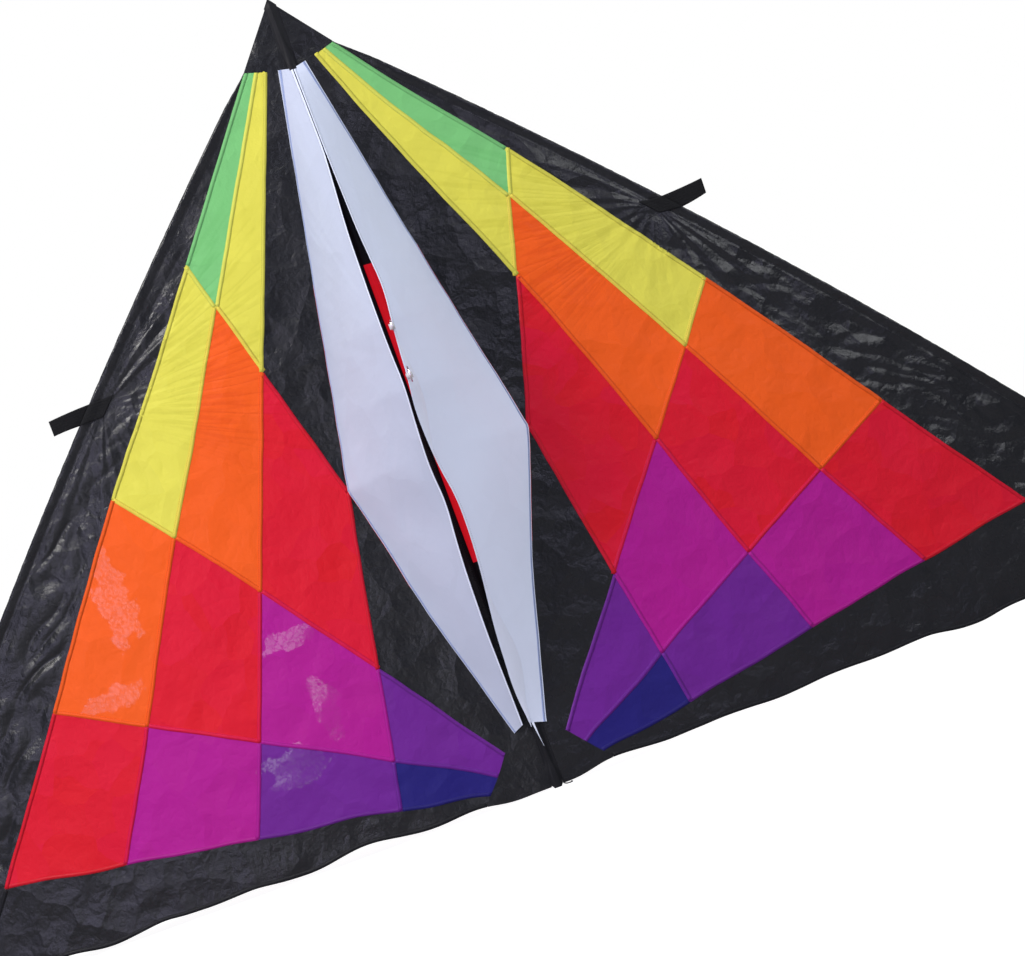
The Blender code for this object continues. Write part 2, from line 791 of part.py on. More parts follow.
def add_tail_cord():
    curve = bpy.data.curves.new("tail_cord", "CURVE")
    curve.dimensions = "3D"
    curve.bevel_depth = CORD_RADIUS
    curve.bevel_resolution = 2
    curve.use_fill_caps = True
    line = smooth_route(CORD_ROUTE, CORD_STEP)
    spline = curve.splines.new("POLY")
    spline.points.add(len(line) - 1)
    for point, place in zip(spline.points, line):
        point.co = (*place, 1)
    curve.materials.append(material_of("webbing"))
    cord = bpy.data.objects.new("tail_cord", curve)
    bpy.context.scene.collection.objects.link(cord)
    cord.parent = pivots["kite"][0]


# Assembly
def add_pivots():
    centre = edge_point(SPREADER_Z)
    left_centre = Vector((-centre.x, centre.y, centre.z))
    add_pivot("kite", (0, 0, 0))
    add_pivot("left_wing", (-HINGE_X, 0, 0), "kite")
    add_pivot("right_wing", (HINGE_X, 0, 0), "kite")
    add_pivot("spreader", centre, "right_wing")
    add_pivot("left_strap_fold", left_centre, "left_wing")
    add_pivot("right_strap_fold", centre, "right_wing")
    for label, drop, radius in zip(("upper", "lower"), TOW_DROPS, RING_RADII):
        add_pivot(label + "_ring_swing", ring_axis(drop, radius), "kite")


def add_wing(label, side):
    wing = label + "_wing"
    for row, panels in enumerate(PANEL_ROWS):
        for column, (name, colour) in enumerate(panels):
            add_part(f"{label}_{name}", mirrored(sheet(panel_outline(row, column)), side), colour, wing)
    centre = sheet(panel_outline(0, NOSE_SEAMS - 1))
    add_part(label + "_red_centre_panel", mirrored(centre, side), "red", wing)
    add_part(label + "_trailing_edge_band", mirrored(sheet(trailing_band_outline()), side), "black", wing)
    add_part(label + "_nose_patch", mirrored(sheet(nose_patch_outline()), side), "black", wing)
    add_part(label + "_tail_patch", mirrored(sheet(tail_patch_outline()), side), "black", wing)
    add_part(label + "_leading_edge_band", mirrored(leading_band(), side), "black", wing)
    add_part(label + "_leading_edge_spar", mirrored(spar(), side), "rod", wing)
    add_part(label + "_tip_cap", mirrored(tip_cap(), side), "moulding", wing)
    add_part(label + "_strap", mirrored(strap(), side), "webbing", label + "_strap_fold")
    add_part(label + "_keel_panel", mirrored(keel_panel(), side), "white", "kite")


def add_spine():
    add_part("spine_rod", spine_rod(), "rod", "kite")
    add_part("spine_pocket", spine_pocket(), "black", "kite")
    add_part("spine_end_cap", spine_cap(), "moulding", "kite")


def add_spreader():
    add_part("spreader_rod", spreader_rod(), "rod", "spreader")
    add_hook("left_spreader_hook", -1)
    add_hook("right_spreader_hook", 1)


def add_tow_points():
    for label, drop, radius in zip(("upper", "lower"), TOW_DROPS, RING_RADII):
        add_part(label + "_tow_tab", tow_tab(drop), "white", "kite")
        add_part(label + "_tow_ring", tow_ring(drop, radius), "steel", label + "_ring_swing")


def main():
    clear_scene()
    add_pivots()
    add_wing("left", -1)
    add_wing("right", 1)
    add_spine()
    add_spreader()
    add_tow_points()
    add_tail_cord()


main()
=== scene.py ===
"""Looks of the delta kite: sewn cloth, webbing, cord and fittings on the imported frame.

Metres. +X is to the right as seen from the keel side, +Y points away from the viewer and +Z runs up the
spine. A wing is drawn in its own plane: x outwards from the spine, z up, and side is 1 on the right, -1 left.
"""

import math

import bmesh
import bpy
from mathutils import Matrix, Vector, geometry, noise


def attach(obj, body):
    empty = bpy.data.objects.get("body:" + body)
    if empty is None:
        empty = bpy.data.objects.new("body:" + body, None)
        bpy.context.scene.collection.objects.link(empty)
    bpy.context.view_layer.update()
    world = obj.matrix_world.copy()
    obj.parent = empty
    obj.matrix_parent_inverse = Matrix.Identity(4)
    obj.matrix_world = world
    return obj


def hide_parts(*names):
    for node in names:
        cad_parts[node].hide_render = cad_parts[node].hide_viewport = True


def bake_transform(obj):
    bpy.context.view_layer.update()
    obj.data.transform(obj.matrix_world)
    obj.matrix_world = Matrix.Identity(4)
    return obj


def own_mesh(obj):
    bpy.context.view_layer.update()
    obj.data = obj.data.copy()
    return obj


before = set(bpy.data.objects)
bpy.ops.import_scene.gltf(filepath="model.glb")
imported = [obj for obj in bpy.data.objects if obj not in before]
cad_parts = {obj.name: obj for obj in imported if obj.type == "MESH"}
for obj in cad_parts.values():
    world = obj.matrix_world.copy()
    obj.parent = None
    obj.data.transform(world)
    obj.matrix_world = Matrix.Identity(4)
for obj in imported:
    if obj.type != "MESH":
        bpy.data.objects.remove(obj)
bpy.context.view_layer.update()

# Camera, for a picture of 1025 by 956
CAMERA_TARGET = Vector((0.134, 0.0, 0.637))
CAMERA_DISTANCE = 6.5
CAMERA_AZIMUTH = math.radians(2.80)
CAMERA_ELEVATION = math.radians(-3.44)
CAMERA_ROLL = math.radians(-20.37)
CAMERA_LENS = 109.1
SENSOR_WIDTH = 36.0

# Sail outline, as in the solids
NOSE_Z = 1.766
TAIL_Z = 0.016
SAIL_HEIGHT = NOSE_Z - TAIL_Z
EDGE_START = 0.036
EDGE_SLOPE = 1.073
EDGE_BOW_RADIUS = 6.28
WING_SWEEP = 0.10
WING_BOW_RADIUS = 5.0
HINGE_X = 0.015
NOSE_SEAM_SLOPES = (0.19, 0.38, 0.57, 0.76)
TAIL_SEAM_SLOPES = (0.276, 0.755, 1.875, 6.1)
NOSE_PATCH_DEPTH = 0.161
NOSE_PATCH_RISE = 0.36

# Cloth
PANEL_STEP = 0.0065  # mesh size of a sail panel
UNDER_POCKET = 0.0115  # where the panels end below the spine's pocket
PANEL_LAP = 0.0008  # how far a panel reaches over its true edge
PATCH_LAP = 0.0030  # how far a patch reaches over its neighbours
PATCH_LIFT = 0.0006
SEAM_WIDTH = 0.0078
SEAM_LAP = 0.0012
SEAM_TRIM = 0.0016
SEAM_LIFT = 0.0004
SEAM_STEP = 0.006
STITCH_PITCH = 0.0050
STITCH_LENGTH = 0.0034
STITCH_RADIUS = 0.00035
HEM_WIDTH = 0.0074

# Leading edge sleeve
SLEEVE_RADIUS = 0.0051
SLEEVE_DEPTH = 0.020  # spar to stitch line
SLEEVE_ROW = 0.0036
SLEEVE_TAPER = 0.07
BAND_COLUMNS = 44
PLY_STEPS = 5
ROUND_STEPS = 10
TILTED_ROWS = 8

# Spreader, hooks and straps
SPREADER_Z = 1.083
HOOK_LENGTH = 0.030
STRAP_WIDTH = 0.036
STRAP_REACH = 0.082
STRAP_THICKNESS = 0.002
STRAP_PATCH = 0.050
STRAP_CURLS = {-1: -0.004, 1: 0.009}  # how far each strap's end bends up

# Spine pocket
POCKET_HALF_WIDTH = 0.014
POCKET_DEPTH = 0.0061
POCKET_FLANGE = 0.0007
POCKET_BULGE = 0.0055
POCKET_FOOT_Z = 0.0015
BEAK_HALF_WIDTH = 0.0025
NOSE_TAB = (0.022, 0.174)  # from and to, below the nose tip

# Keel and tow points
KEEL_TOP = 0.158
KEEL_BOTTOM = 1.629
KEEL_DEPTH = 0.240
KEEL_LIFT = 0.004
KEEL_BULGE = 0.010
KEEL_ROW = 0.008
KEEL_COLUMNS = 36
KEEL_OFF_SAIL = 0.0012
KEEL_LAP = 0.0025  # how far its seam lies outside the red centre panel
SLIT = (  # below the nose tip, lean to the right, half width
    (0.150, 0.0000, 0.0008),
    (0.360, 0.0000, 0.0010),
    (0.550, -0.0060, 0.0095),
    (0.690, -0.0040, 0.0155),
    (0.773, -0.0095, 0.0112),
    (0.846, -0.0120, 0.0074),
    (0.890, -0.0115, 0.0056),
    (0.920, -0.0160, 0.0030),
    (0.990, -0.0183, 0.0046),
    (1.064, -0.0168, 0.0084),
    (1.139, -0.0065, 0.0114),
    (1.214, -0.0097, 0.0146),
    (1.288, -0.0136, 0.0142),
    (1.420, -0.0215, 0.0080),
    (1.550, -0.0225, 0.0038),
    (1.630, -0.0170, 0.0075),
)
RED_GLOW_DROPS = (0.60, 1.27)  # where the red centre is seen through the slit and drawn with painted glow, below the nose tip
DARK_CENTRE = 0.036  # the red centre is drawn black beside the spine, on the left, out to here
POCKET_RIGHT = -0.0050  # red cloth, with painted glow where the slit shows it, covers the pocket from here to the right
KEEL_FOLDS = (  # the right panel's loose hem: start, widest and end below the nose tip, reach
    (0.775, 0.920, 1.060, 0.034),
    (1.300, 1.480, 1.640, 0.040),
)
SPIKE_END = 1.675  # below the nose tip
TOW_DROPS = (0.773, 0.878)
TOW_FLAT = 0.020
TAB_THICKNESS = 0.0012
TAB_HEIGHT = 0.012
TAB_FOOT = 0.028
TAB_BORE = 0.0045
TAB_NECK = 0.006
RING_RADII = (0.011, 0.016)
RING_WIRE = 0.0015

# Tail cord, with the same route as its solid
CORD_RADIUS = 0.00125
CORD_ROUTE = (
    (0.0106, 0.0000, 0.0300),
    (0.0106, -0.0002, 0.0220),
    (0.0108, -0.0015, 0.0130),
    (0.0128, -0.0050, 0.0062),
    (0.0175, -0.0095, 0.0026),
    (0.0235, -0.0120, 0.0016),
    (0.0290, -0.0125, 0.0016),
)
KNOT_RADIUS = 0.0022

# Where the left wing's coating shows clear reflections: the middle of the area, and each patch by
# its middle and its half width and height
GLOSS_X = 0.45
GLOSS_Z = 0.36
GLOSS_PATCHES = (
    (-0.415, 0.480, 0.065, 0.026),
    (-0.400, 0.335, 0.032, 0.070),
    (-0.500, 0.222, 0.066, 0.050),
    (-0.745, 0.705, 0.042, 0.120),
    (-0.810, 0.500, 0.070, 0.026),
)
COAT_ROUGHNESS = {"orange": 0.26, "magenta": 0.08, "violet": 0.08}

# Colours of the cloth, palest first: a seam is turned on to the paler of its two panels
CLOTH = {
    "white": (0.52, 0.56, 0.68),
    "yellow": (0.70, 0.65, 0.082),
    "green": (0.185, 0.52, 0.175),
    "orange": (0.86, 0.108, 0.010),
    "red": (0.68, 0.008, 0.016),
    "magenta": (0.42, 0.010, 0.25),
    "violet": (0.15, 0.018, 0.26),
    "blue": (0.018, 0.014, 0.16),
    "black": (0.012, 0.012, 0.014),
}
PALEST_FIRST = list(CLOTH)
SIDES = {"left": -1, "right": 1}
SEEDS = {-1: 3.37, 1: 41.73}


# Small tools
def smooth(value, low, high):
    """Eases from 0 at low to 1 at high."""
    share = min(1.0, max(0.0, (value - low) / (high - low)))
    return share * share * (3 - 2 * share)


def grain(seed, a, b=0.0):
    """Smooth noise of one or two coordinates, about -1 to 1."""
    return noise.noise(Vector((a, b, seed)))


def crease(seed, a, b=0.0):
    """Noise with sharp ridges, about -1 to 1."""
    return 1 - 2.6 * abs(grain(seed, a, b))


def mix(first, second, share):
    return tuple(a + (b - a) * share for a, b in zip(first, second))


# Shape of the sail
def sail_y(x):
    reach = max(0.0, x - HINGE_X)
    return WING_SWEEP * reach + reach * reach / (2 * WING_BOW_RADIUS)


def sail_slope(x):
    return WING_SWEEP + max(0.0, x - HINGE_X) / WING_BOW_RADIUS


def edge_x(z):
    drop = NOSE_Z - z - EDGE_START
    return EDGE_SLOPE * drop - drop * drop / (2 * EDGE_BOW_RADIUS)


def edge_slope(z):
    return EDGE_SLOPE - (NOSE_Z - z - EDGE_START) / EDGE_BOW_RADIUS


def edge_frame(z):
    """A point on the right leading edge, with the directions down along it, outwards across it, and back."""
    x = edge_x(z)
    slope = edge_slope(z)
    along = Vector((slope, sail_slope(x) * slope, -1)).normalized()
    out = along.cross(Vector((0, 1, 0))).normalized()
    return Vector((x, sail_y(x), z)), along, out, out.cross(along)


def edge_distance(x, z):
    """How far inside the leading edge a point of the sail lies."""
    return (edge_x(z) - x) / math.hypot(1, edge_slope(z))


def patch_line_z(x):
    return NOSE_Z - NOSE_PATCH_DEPTH + NOSE_PATCH_RISE * x


def outer_seam_x(z):
    return NOSE_SEAM_SLOPES[-1] * (NOSE_Z - z)


def band_inner_x(z):
    return min(outer_seam_x(z), edge_x(z) - 0.002)


def seam_lines():
    """Every straight seam of a wing, as a point, a direction along it and the direction across it."""
    lines = []
    for slope in NOSE_SEAM_SLOPES:
        along = Vector((slope, -1)).normalized()
        lines.append((Vector((0, NOSE_Z)), along))
    for slope in TAIL_SEAM_SLOPES:
        along = Vector((slope, 1)).normalized()
        lines.append((Vector((0, TAIL_Z)), along))
    return [(start, along, Vector((-along.y, along.x))) for start, along in lines]


SEAM_LINES = seam_lines()


# Wrinkles
def pleat(phase):
    """Even sharp folds, from -1 to 1 and back for each whole number."""
    return 4 * abs(phase % 1 - 0.5) - 1


def strap_fan(seed, x, z):
    """Flat facets that run out from the strap, where the spreader pulls the cloth."""
    across = edge_x(SPREADER_Z) - STRAP_PATCH * 0.75 - x
    up = z - SPREADER_Z
    reach = math.hypot(across, up)
    turn = math.atan2(up, across)
    on_band = smooth(x - outer_seam_x(z), -0.03, 0.01)
    phase = turn / 0.27 + 1.1 * grain(seed, turn / 0.40, reach / 0.5)
    depth = 0.0170 * reach * smooth(reach, 0.01, 0.05) * math.exp(-((reach / (0.13 + 0.15 * on_band)) ** 2))
    return depth * pleat(phase)


def nose_fan(seed, x, z):
    """Slim folds that fan out from the nose."""
    reach = math.hypot(x, NOSE_Z - z)
    turn = math.atan2(x, NOSE_Z - z)
    free = smooth(edge_distance(x, z), 0.008, 0.030) * smooth(x, 0.013, 0.025)
    depth = 0.0085 * reach * free * smooth(reach, 0.02, 0.06) * math.exp(-((reach / 0.19) ** 4))
    return depth * pleat(turn / 0.17 + 0.9 * grain(seed + 4, turn / 0.30, reach / 0.25))


def crumple(seed, side, x, z):
    """Irregular creases: strong in the black band below the strap, faint in the coloured panels."""
    edge = edge_distance(x, z)
    down = (NOSE_Z - z) * math.hypot(1, EDGE_SLOPE)
    on_band = smooth(x - outer_seam_x(z), -0.01, 0.03)
    low = smooth(SPREADER_Z - z, -0.05, 0.35)
    bend = 0.6 * grain(seed + 6, down / 0.15, edge / 0.1)
    depth = (0.0034 - 0.0010 * side) * on_band * (0.25 + 0.75 * low)
    depth *= crease(seed + 7, down / 0.09 + bend, edge / 0.045 + bend)
    near_hem = math.exp(-((z - TAIL_Z) / 0.12))
    depth += 0.0015 * near_hem * crease(seed + 8, x / 0.09 + bend, z / 0.05)
    soft = 0.0009 * (1 - on_band) * grain(seed + 9, x / 0.10 + bend, z / 0.12 + bend)
    spot = math.exp(-(((x - GLOSS_X) ** 2 + (z - GLOSS_Z) ** 2) / 0.22**2)) if side < 0 else 0.0
    return depth + soft + 0.0030 * spot * grain(seed + 10, x / 0.075 + bend, z / 0.095 + bend)


def seam_pucker(seed, x, z):
    """Each seam stands up a little, and its stitching draws the cloth into small waves."""
    depth = 0.0
    for index, (start, along, across) in enumerate(SEAM_LINES):
        away = (x - start.x) * across.x + (z - start.y) * across.y
        if abs(away) < 0.03:
            down = (x - start.x) * along.x + (z - start.y) * along.y
            wave = 0.0006 * grain(seed + 11 + index, down / 0.013)
            depth += wave * math.exp(-((away / 0.012) ** 2)) - 0.0003 * math.exp(-((away / 0.006) ** 2))
    return depth


def relief(side, x, z):
    """How far the cloth lies behind the smooth sail, or before it where negative."""
    seed = SEEDS[side]
    free = smooth(edge_distance(x, z), 0.016, 0.045) * smooth(x, HINGE_X, 0.05)
    depth = 0.004 * grain(seed + 1, x / 0.30, z / 0.34)
    depth += strap_fan(seed, x, z) + crumple(seed, side, x, z)
    depth += 0.004 * grain(seed + 20, x / 0.14) * math.exp(-((z - TAIL_Z) / 0.09))
    return free * (depth + seam_pucker(seed, x, z)) + nose_fan(seed, x, z)


def drift(side, x, z):
    """How far the cloth is stretched outwards and up, between the frame that holds it."""
    drop = NOSE_Z - z
    held = 1 - smooth(x / max(edge_x(z), 0.05), 0.80, 1.0)
    inner = -0.012 * side * smooth(drop, 1.05, 1.35) * smooth(x, 0.014, 0.04) * (1 - smooth(x, 0.12, 0.28))
    if side > 0:
        out = 0.014 * smooth(drop, 0.18, 0.45) * (1 - smooth(drop, 0.95, 1.45)) * smooth(x, 0.10, 0.30)
        up = 0.010 * smooth(drop, 0.35, 0.60) * smooth(x, 0.15, 0.32)
    else:
        out = 0.011 * smooth(drop, 0.50, 0.85) * (1 - smooth(drop, 0.90, 1.50)) * smooth(x, 0.45, 0.66)
        up = -0.008 * smooth(drop, 0.90, 1.40) * smooth(x, 0.12, 0.30)
    return held * (out + inner), held * up * smooth(z, TAIL_Z, 0.20)


def sway(side, x, z):
    """How far the cloth is drawn aside in its own plane, which makes seams and hems wander."""
    seed = SEEDS[side]
    free = smooth(edge_distance(x, z), 0.0, 0.10) * smooth(x, HINGE_X, 0.12)
    aside = 0.0014 * grain(seed + 21, x / 0.06, z / 0.06)
    up = 0.0014 * grain(seed + 22, x / 0.06, z / 0.06)
    near_hem = math.exp(-((z - TAIL_Z) / 0.14))
    up += near_hem * (0.0032 * math.sin(2 * math.pi * x / 0.235 + seed) + 0.010 * grain(seed + 23, x / 0.17))
    point = 0.010 * (1 - smooth(x, 0.02, 0.15)) * math.exp(-((z - TAIL_Z) / 0.05))
    out, rise = drift(side, x, z)
    return aside * free + out, up * free + rise - point


def sail_point(side, x, z, lift=0.0):
    """A point on the sail, drawn towards the viewer by the lift."""
    aside, up = sway(side, x, z)
    return Vector((side * (x + aside), sail_y(x + aside) + relief(side, x, z) - lift, z + up))


# Materials
def new_material(name):
    material = bpy.data.materials.new(name)
    material.use_nodes = True
    return material, material.node_tree, material.node_tree.nodes["Principled BSDF"]


def add_node(tree, kind, inputs, **settings):
    """A node with its settings, and with values or other nodes' outputs on its inputs."""
    node = tree.nodes.new(kind)
    for key, value in settings.items():
        setattr(node, key, value)
    for socket, value in inputs.items():
        if isinstance(value, bpy.types.NodeSocket):
            tree.links.new(value, node.inputs[socket])
        else:
            node.inputs[socket].default_value = value
    return node


def place_of(tree):
    return add_node(tree, "ShaderNodeTexCoord", {}).outputs["Object"]


def add_noise(tree, scale, detail=2.0, kind="FBM"):
    inputs = {"Vector": place_of(tree), "Scale": scale, "Detail": detail}
    return add_node(tree, "ShaderNodeTexNoise", inputs, noise_type=kind).outputs["Fac"]


def add_wave(tree, direction, scale):
    inputs = {"Vector": place_of(tree), "Scale": scale}
    return add_node(tree, "ShaderNodeTexWave", inputs, bands_direction=direction).outputs["Fac"]


def add_range(tree, value, low, high):
    inputs = {"Value": value, "From Min": 0.3, "From Max": 0.7, "To Min": low, "To Max": high}
    return add_node(tree, "ShaderNodeMapRange", inputs).outputs["Result"]


def add_ease(tree, value, low, high, first=0.0, last=1.0):
    """Eases from a first to a last value while the input goes from low to high."""
    inputs = {"Value": value, "From Min": low, "From Max": high, "To Min": first, "To Max": last}
    return add_node(tree, "ShaderNodeMapRange", inputs, interpolation_type="SMOOTHSTEP").outputs["Result"]


def add_math(tree, operation, first, second=0.5):
    return add_node(tree, "ShaderNodeMath", {0: first, 1: second}, operation=operation).outputs[0]


def add_mix(tree, share, first, second):
    """A colour between two, each a tone or another node's output."""
    node = tree.nodes.new("ShaderNodeMix")
    node.data_type = "RGBA"
    tree.links.new(share, node.inputs[0])
    for socket, tone in ((node.inputs[6], first), (node.inputs[7], second)):
        if isinstance(tone, bpy.types.NodeSocket):
            tree.links.new(tone, socket)
        else:
            socket.default_value = (*tone, 1)
    return node.outputs[2]


def add_tint(tree, shader, value, first, second):
    """Colour that drifts between two tones."""
    tree.links.new(add_mix(tree, value, first, second), shader.inputs["Base Color"])


def add_bump(tree, shader, heights):
    """Bumps on top of each other, each a height and its depth in metres."""
    normal = None
    for height, depth in heights:
        inputs = {"Height": height, "Distance": depth, "Strength": 1.0}
        if normal:
            inputs["Normal"] = normal
        normal = add_node(tree, "ShaderNodeBump", inputs).outputs["Normal"]
    tree.links.new(normal, shader.inputs["Normal"])


def add_folds(tree, scale, detail):
    """A height with sharp folds."""
    return add_math(tree, "ABSOLUTE", add_math(tree, "SUBTRACT", add_noise(tree, scale, detail), 0.5))


def add_pull(tree):
    """Fine folds that run out from both straps across the sail: their height, and how strong they are."""
    place = add_node(tree, "ShaderNodeSeparateXYZ", {"Vector": place_of(tree)}).outputs
    across = add_math(tree, "SUBTRACT", edge_x(SPREADER_Z), add_math(tree, "ABSOLUTE", place["X"]))
    up = add_math(tree, "SUBTRACT", place["Z"], SPREADER_Z)
    turn = add_math(tree, "ARCTAN2", up, across)
    flat = add_node(tree, "ShaderNodeCombineXYZ", {"X": across, "Z": up}).outputs["Vector"]
    reach = add_node(tree, "ShaderNodeVectorMath", {0: flat}, operation="LENGTH").outputs["Value"]
    rays = {
        "X": add_math(tree, "MULTIPLY", turn, 17.0),
        "Y": add_math(tree, "MULTIPLY", reach, 3.6),
        "Z": add_math(tree, "SIGN", place["X"]),
    }
    rays = add_node(tree, "ShaderNodeCombineXYZ", rays).outputs["Vector"]
    lines = add_node(tree, "ShaderNodeTexNoise", {"Vector": rays, "Scale": 1.0, "Detail": 1.5}).outputs["Fac"]
    fold = add_math(tree, "ABSOLUTE", add_math(tree, "SUBTRACT", lines, 0.5))
    near = add_ease(tree, reach, 0.10, 0.22)
    far = add_ease(tree, reach, 0.28, 0.70, 1.0, 0.0)
    aside = add_math(tree, "ABSOLUTE", add_math(tree, "SUBTRACT", turn, 0.05))
    fan = add_ease(tree, aside, 0.35, 0.95, 1.0, 0.0)
    strength = add_math(tree, "MULTIPLY", add_math(tree, "MULTIPLY", near, far), fan)
    return fold, strength


def add_facets(tree, scale):
    """Crumpled film: a height with flat faces and sharp bent edges, and a value for each face, which the
    cloth uses for a painted sky reflection on some faces.
    """
    warp = add_node(tree, "ShaderNodeTexNoise", {"Vector": place_of(tree), "Scale": 7.0, "Detail": 2.0})
    inputs = {0: warp.outputs["Color"], 1: (0.09, 0.09, 0.09), 2: place_of(tree)}
    bent = add_node(tree, "ShaderNodeVectorMath", inputs, operation="MULTIPLY_ADD").outputs["Vector"]
    cells = add_node(tree, "ShaderNodeTexVoronoi", {"Vector": bent, "Scale": scale}).outputs
    return cells["Distance"], add_math(tree, "MULTIPLY", cells["Color"], 1.0)


def add_patches(tree):
    """1 within the clear patches of the coating, which have torn edges and a crackle."""
    torn = add_math(tree, "MULTIPLY", add_math(tree, "SUBTRACT", add_noise(tree, 26.0, 5.0), 0.5), 2.4)
    most = None
    for x, z, wide, high in GLOSS_PATCHES:
        away = {0: place_of(tree), 1: (x, 0, z)}
        away = add_node(tree, "ShaderNodeVectorMath", away, operation="SUBTRACT").outputs["Vector"]
        scaled = {0: away, 1: (1 / wide, 0, 1 / high)}
        scaled = add_node(tree, "ShaderNodeVectorMath", scaled, operation="MULTIPLY").outputs["Vector"]
        away = add_node(tree, "ShaderNodeVectorMath", {0: scaled}, operation="LENGTH").outputs["Value"]
        shown = add_ease(tree, add_math(tree, "ADD", away, torn), 0.86, 0.96, 1.0, 0.0)
        most = shown if most is None else add_math(tree, "MAXIMUM", most, shown)
    crackle = add_ease(tree, add_folds(tree, 95.0, 3.0), 0.01, 0.08, 0.25, 1.0)
    return add_math(tree, "MULTIPLY", most, crackle)


def cloth_material(name, colour, rough=0.42, crinkle=1.0, glow=0.0, shine=0.12, coat=None):
    """Thin coated nylon: a fine weave, pulled folds with painted shade along them, and crumpled facets, some
    with a painted sky reflection.

    Glow is painted light: emission that stands in for light coming through from behind; coat is how rough the
    clear patches of a coating are.
    """
    material, tree, shader = new_material(name)
    fold, strength = add_pull(tree)
    dark, pale = mix(colour, (0, 0, 0), 0.08), mix(colour, (1, 1, 1), 0.003)
    faces, face = add_facets(tree, 13.0)
    # Painted reflection: on cloth with almost no green, some facets take a bluer tone, a painted sheen of
    # sky.
    sky_sheen_share = 0.028 * colour[0] if colour[1] < 0.05 else 0.0
    sky_sheen_tone = (colour[0] * (1 - sky_sheen_share), colour[1], colour[2] + sky_sheen_share)
    tone = add_mix(tree, face, add_mix(tree, add_noise(tree, 7.0, 4.0), dark, pale), sky_sheen_tone)
    # Painted shade: the base colour darkens towards a deeper tone along the pulled folds.
    fold_shade = add_math(tree, "MULTIPLY", add_ease(tree, fold, 0.0, 0.07, 1.0, 0.0), strength)
    fold_shade_tone = tuple(c * (0.80 if c > 0.3 else 0.62) for c in colour)
    add_tint(tree, shader, add_math(tree, "MULTIPLY", fold_shade, 0.45 * crinkle), tone, fold_shade_tone)
    dull = add_range(tree, add_noise(tree, 16.0, 3.0), rough - 0.06, rough + 0.10)
    tree.links.new(dull, shader.inputs["Roughness"])
    weave = add_math(tree, "ADD", add_wave(tree, "X", 420.0), add_wave(tree, "Z", 420.0))
    heights = [
        (weave, 0.00002),
        (add_math(tree, "MULTIPLY", fold, strength), 0.0024),
        (faces, 0.0042 * crinkle),
        (add_folds(tree, 32.0, 4.0), 0.0028 * crinkle),
    ]
    add_bump(tree, shader, heights)
    shader.inputs["Specular IOR Level"].default_value = shine
    # Painted glow: the cloth emits its own colour, standing in for light that comes through it.
    shader.inputs["Emission Color"].default_value = (*colour, 1)
    shader.inputs["Emission Strength"].default_value = glow
    if coat is not None:
        tree.links.new(add_patches(tree), shader.inputs["Coat Weight"])
        shader.inputs["Coat Roughness"].default_value = coat
    return material


def webbing_material(name, colour):
    """Woven tape with a rib across it."""
    material, tree, shader = new_material(name)
    dark, pale = mix(colour, (0, 0, 0), 0.25), mix(colour, (1, 1, 1), 0.01)
    add_tint(tree, shader, add_noise(tree, 240.0, 3.0), dark, pale)
    shader.inputs["Roughness"].default_value = 0.85
    ribs = add_node(tree, "ShaderNodeMath", {0: add_wave(tree, "X", 130.0), 1: add_wave(tree, "Z", 60.0)})
    add_bump(tree, shader, [(ribs.outputs["Value"], 0.00022), (add_noise(tree, 900.0, 2.0), 0.0001)])
    shader.inputs["Sheen Weight"].default_value = 0.02
    shader.inputs["Specular IOR Level"].default_value = 0.12
    return material


def thread_material(name, colour):
    material, tree, shader = new_material(name)
    add_tint(tree, shader, add_noise(tree, 300.0), mix(colour, (0, 0, 0), 0.3), colour)
    shader.inputs["Roughness"].default_value = 0.6
    add_bump(tree, shader, [(add_wave(tree, "DIAGONAL", 500.0), 0.0001)])
    return material


def rod_material():
    """Pultruded fibreglass, with faint streaks along it."""
    material, tree, shader = new_material("rod")
    add_tint(tree, shader, add_noise(tree, 40.0, 6.0), (0.014, 0.014, 0.016), (0.034, 0.034, 0.037))
    tree.links.new(add_range(tree, add_noise(tree, 70.0, 4.0), 0.22, 0.42), shader.inputs["Roughness"])
    add_bump(tree, shader, [(add_noise(tree, 600.0, 3.0), 0.00006)])
    return material


def moulding_material():
    """Soft black vinyl with a fine grain."""
    material, tree, shader = new_material("moulding")
    add_tint(tree, shader, add_noise(tree, 60.0, 4.0), (0.018, 0.018, 0.020), (0.045, 0.045, 0.048))
    tree.links.new(add_range(tree, add_noise(tree, 90.0, 4.0), 0.42, 0.60), shader.inputs["Roughness"])
    add_bump(tree, shader, [(add_noise(tree, 1400.0, 2.0), 0.00008)])
    return material


def steel_material():
    material, tree, shader = new_material("steel")
    add_tint(tree, shader, add_noise(tree, 120.0, 4.0), (0.62, 0.63, 0.65), (0.82, 0.83, 0.85))
    shader.inputs["Metallic"].default_value = 1.0
    tree.links.new(add_range(tree, add_noise(tree, 300.0, 4.0), 0.14, 0.30), shader.inputs["Roughness"])
    add_bump(tree, shader, [(add_noise(tree, 900.0, 2.0), 0.00002)])
    return material


MATERIALS = {
    colour: cloth_material(colour + "_cloth", CLOTH[colour], coat=COAT_ROUGHNESS.get(colour))
    for colour in PALEST_FIRST[1:-1]
}
MATERIALS["black"] = cloth_material("black_cloth", CLOTH["black"], rough=0.24, crinkle=1.6, shine=0.3)
MATERIALS["white"] = cloth_material("white_cloth", CLOTH["white"], rough=0.52, crinkle=0.35)
# Painted glow: a copy of the white cloth that glows, for the right keel panel, which the lamps leave darker
# than the left one.
LIT_WHITE = cloth_material("lit_white_cloth", CLOTH["white"], rough=0.52, crinkle=0.35, glow=0.38)
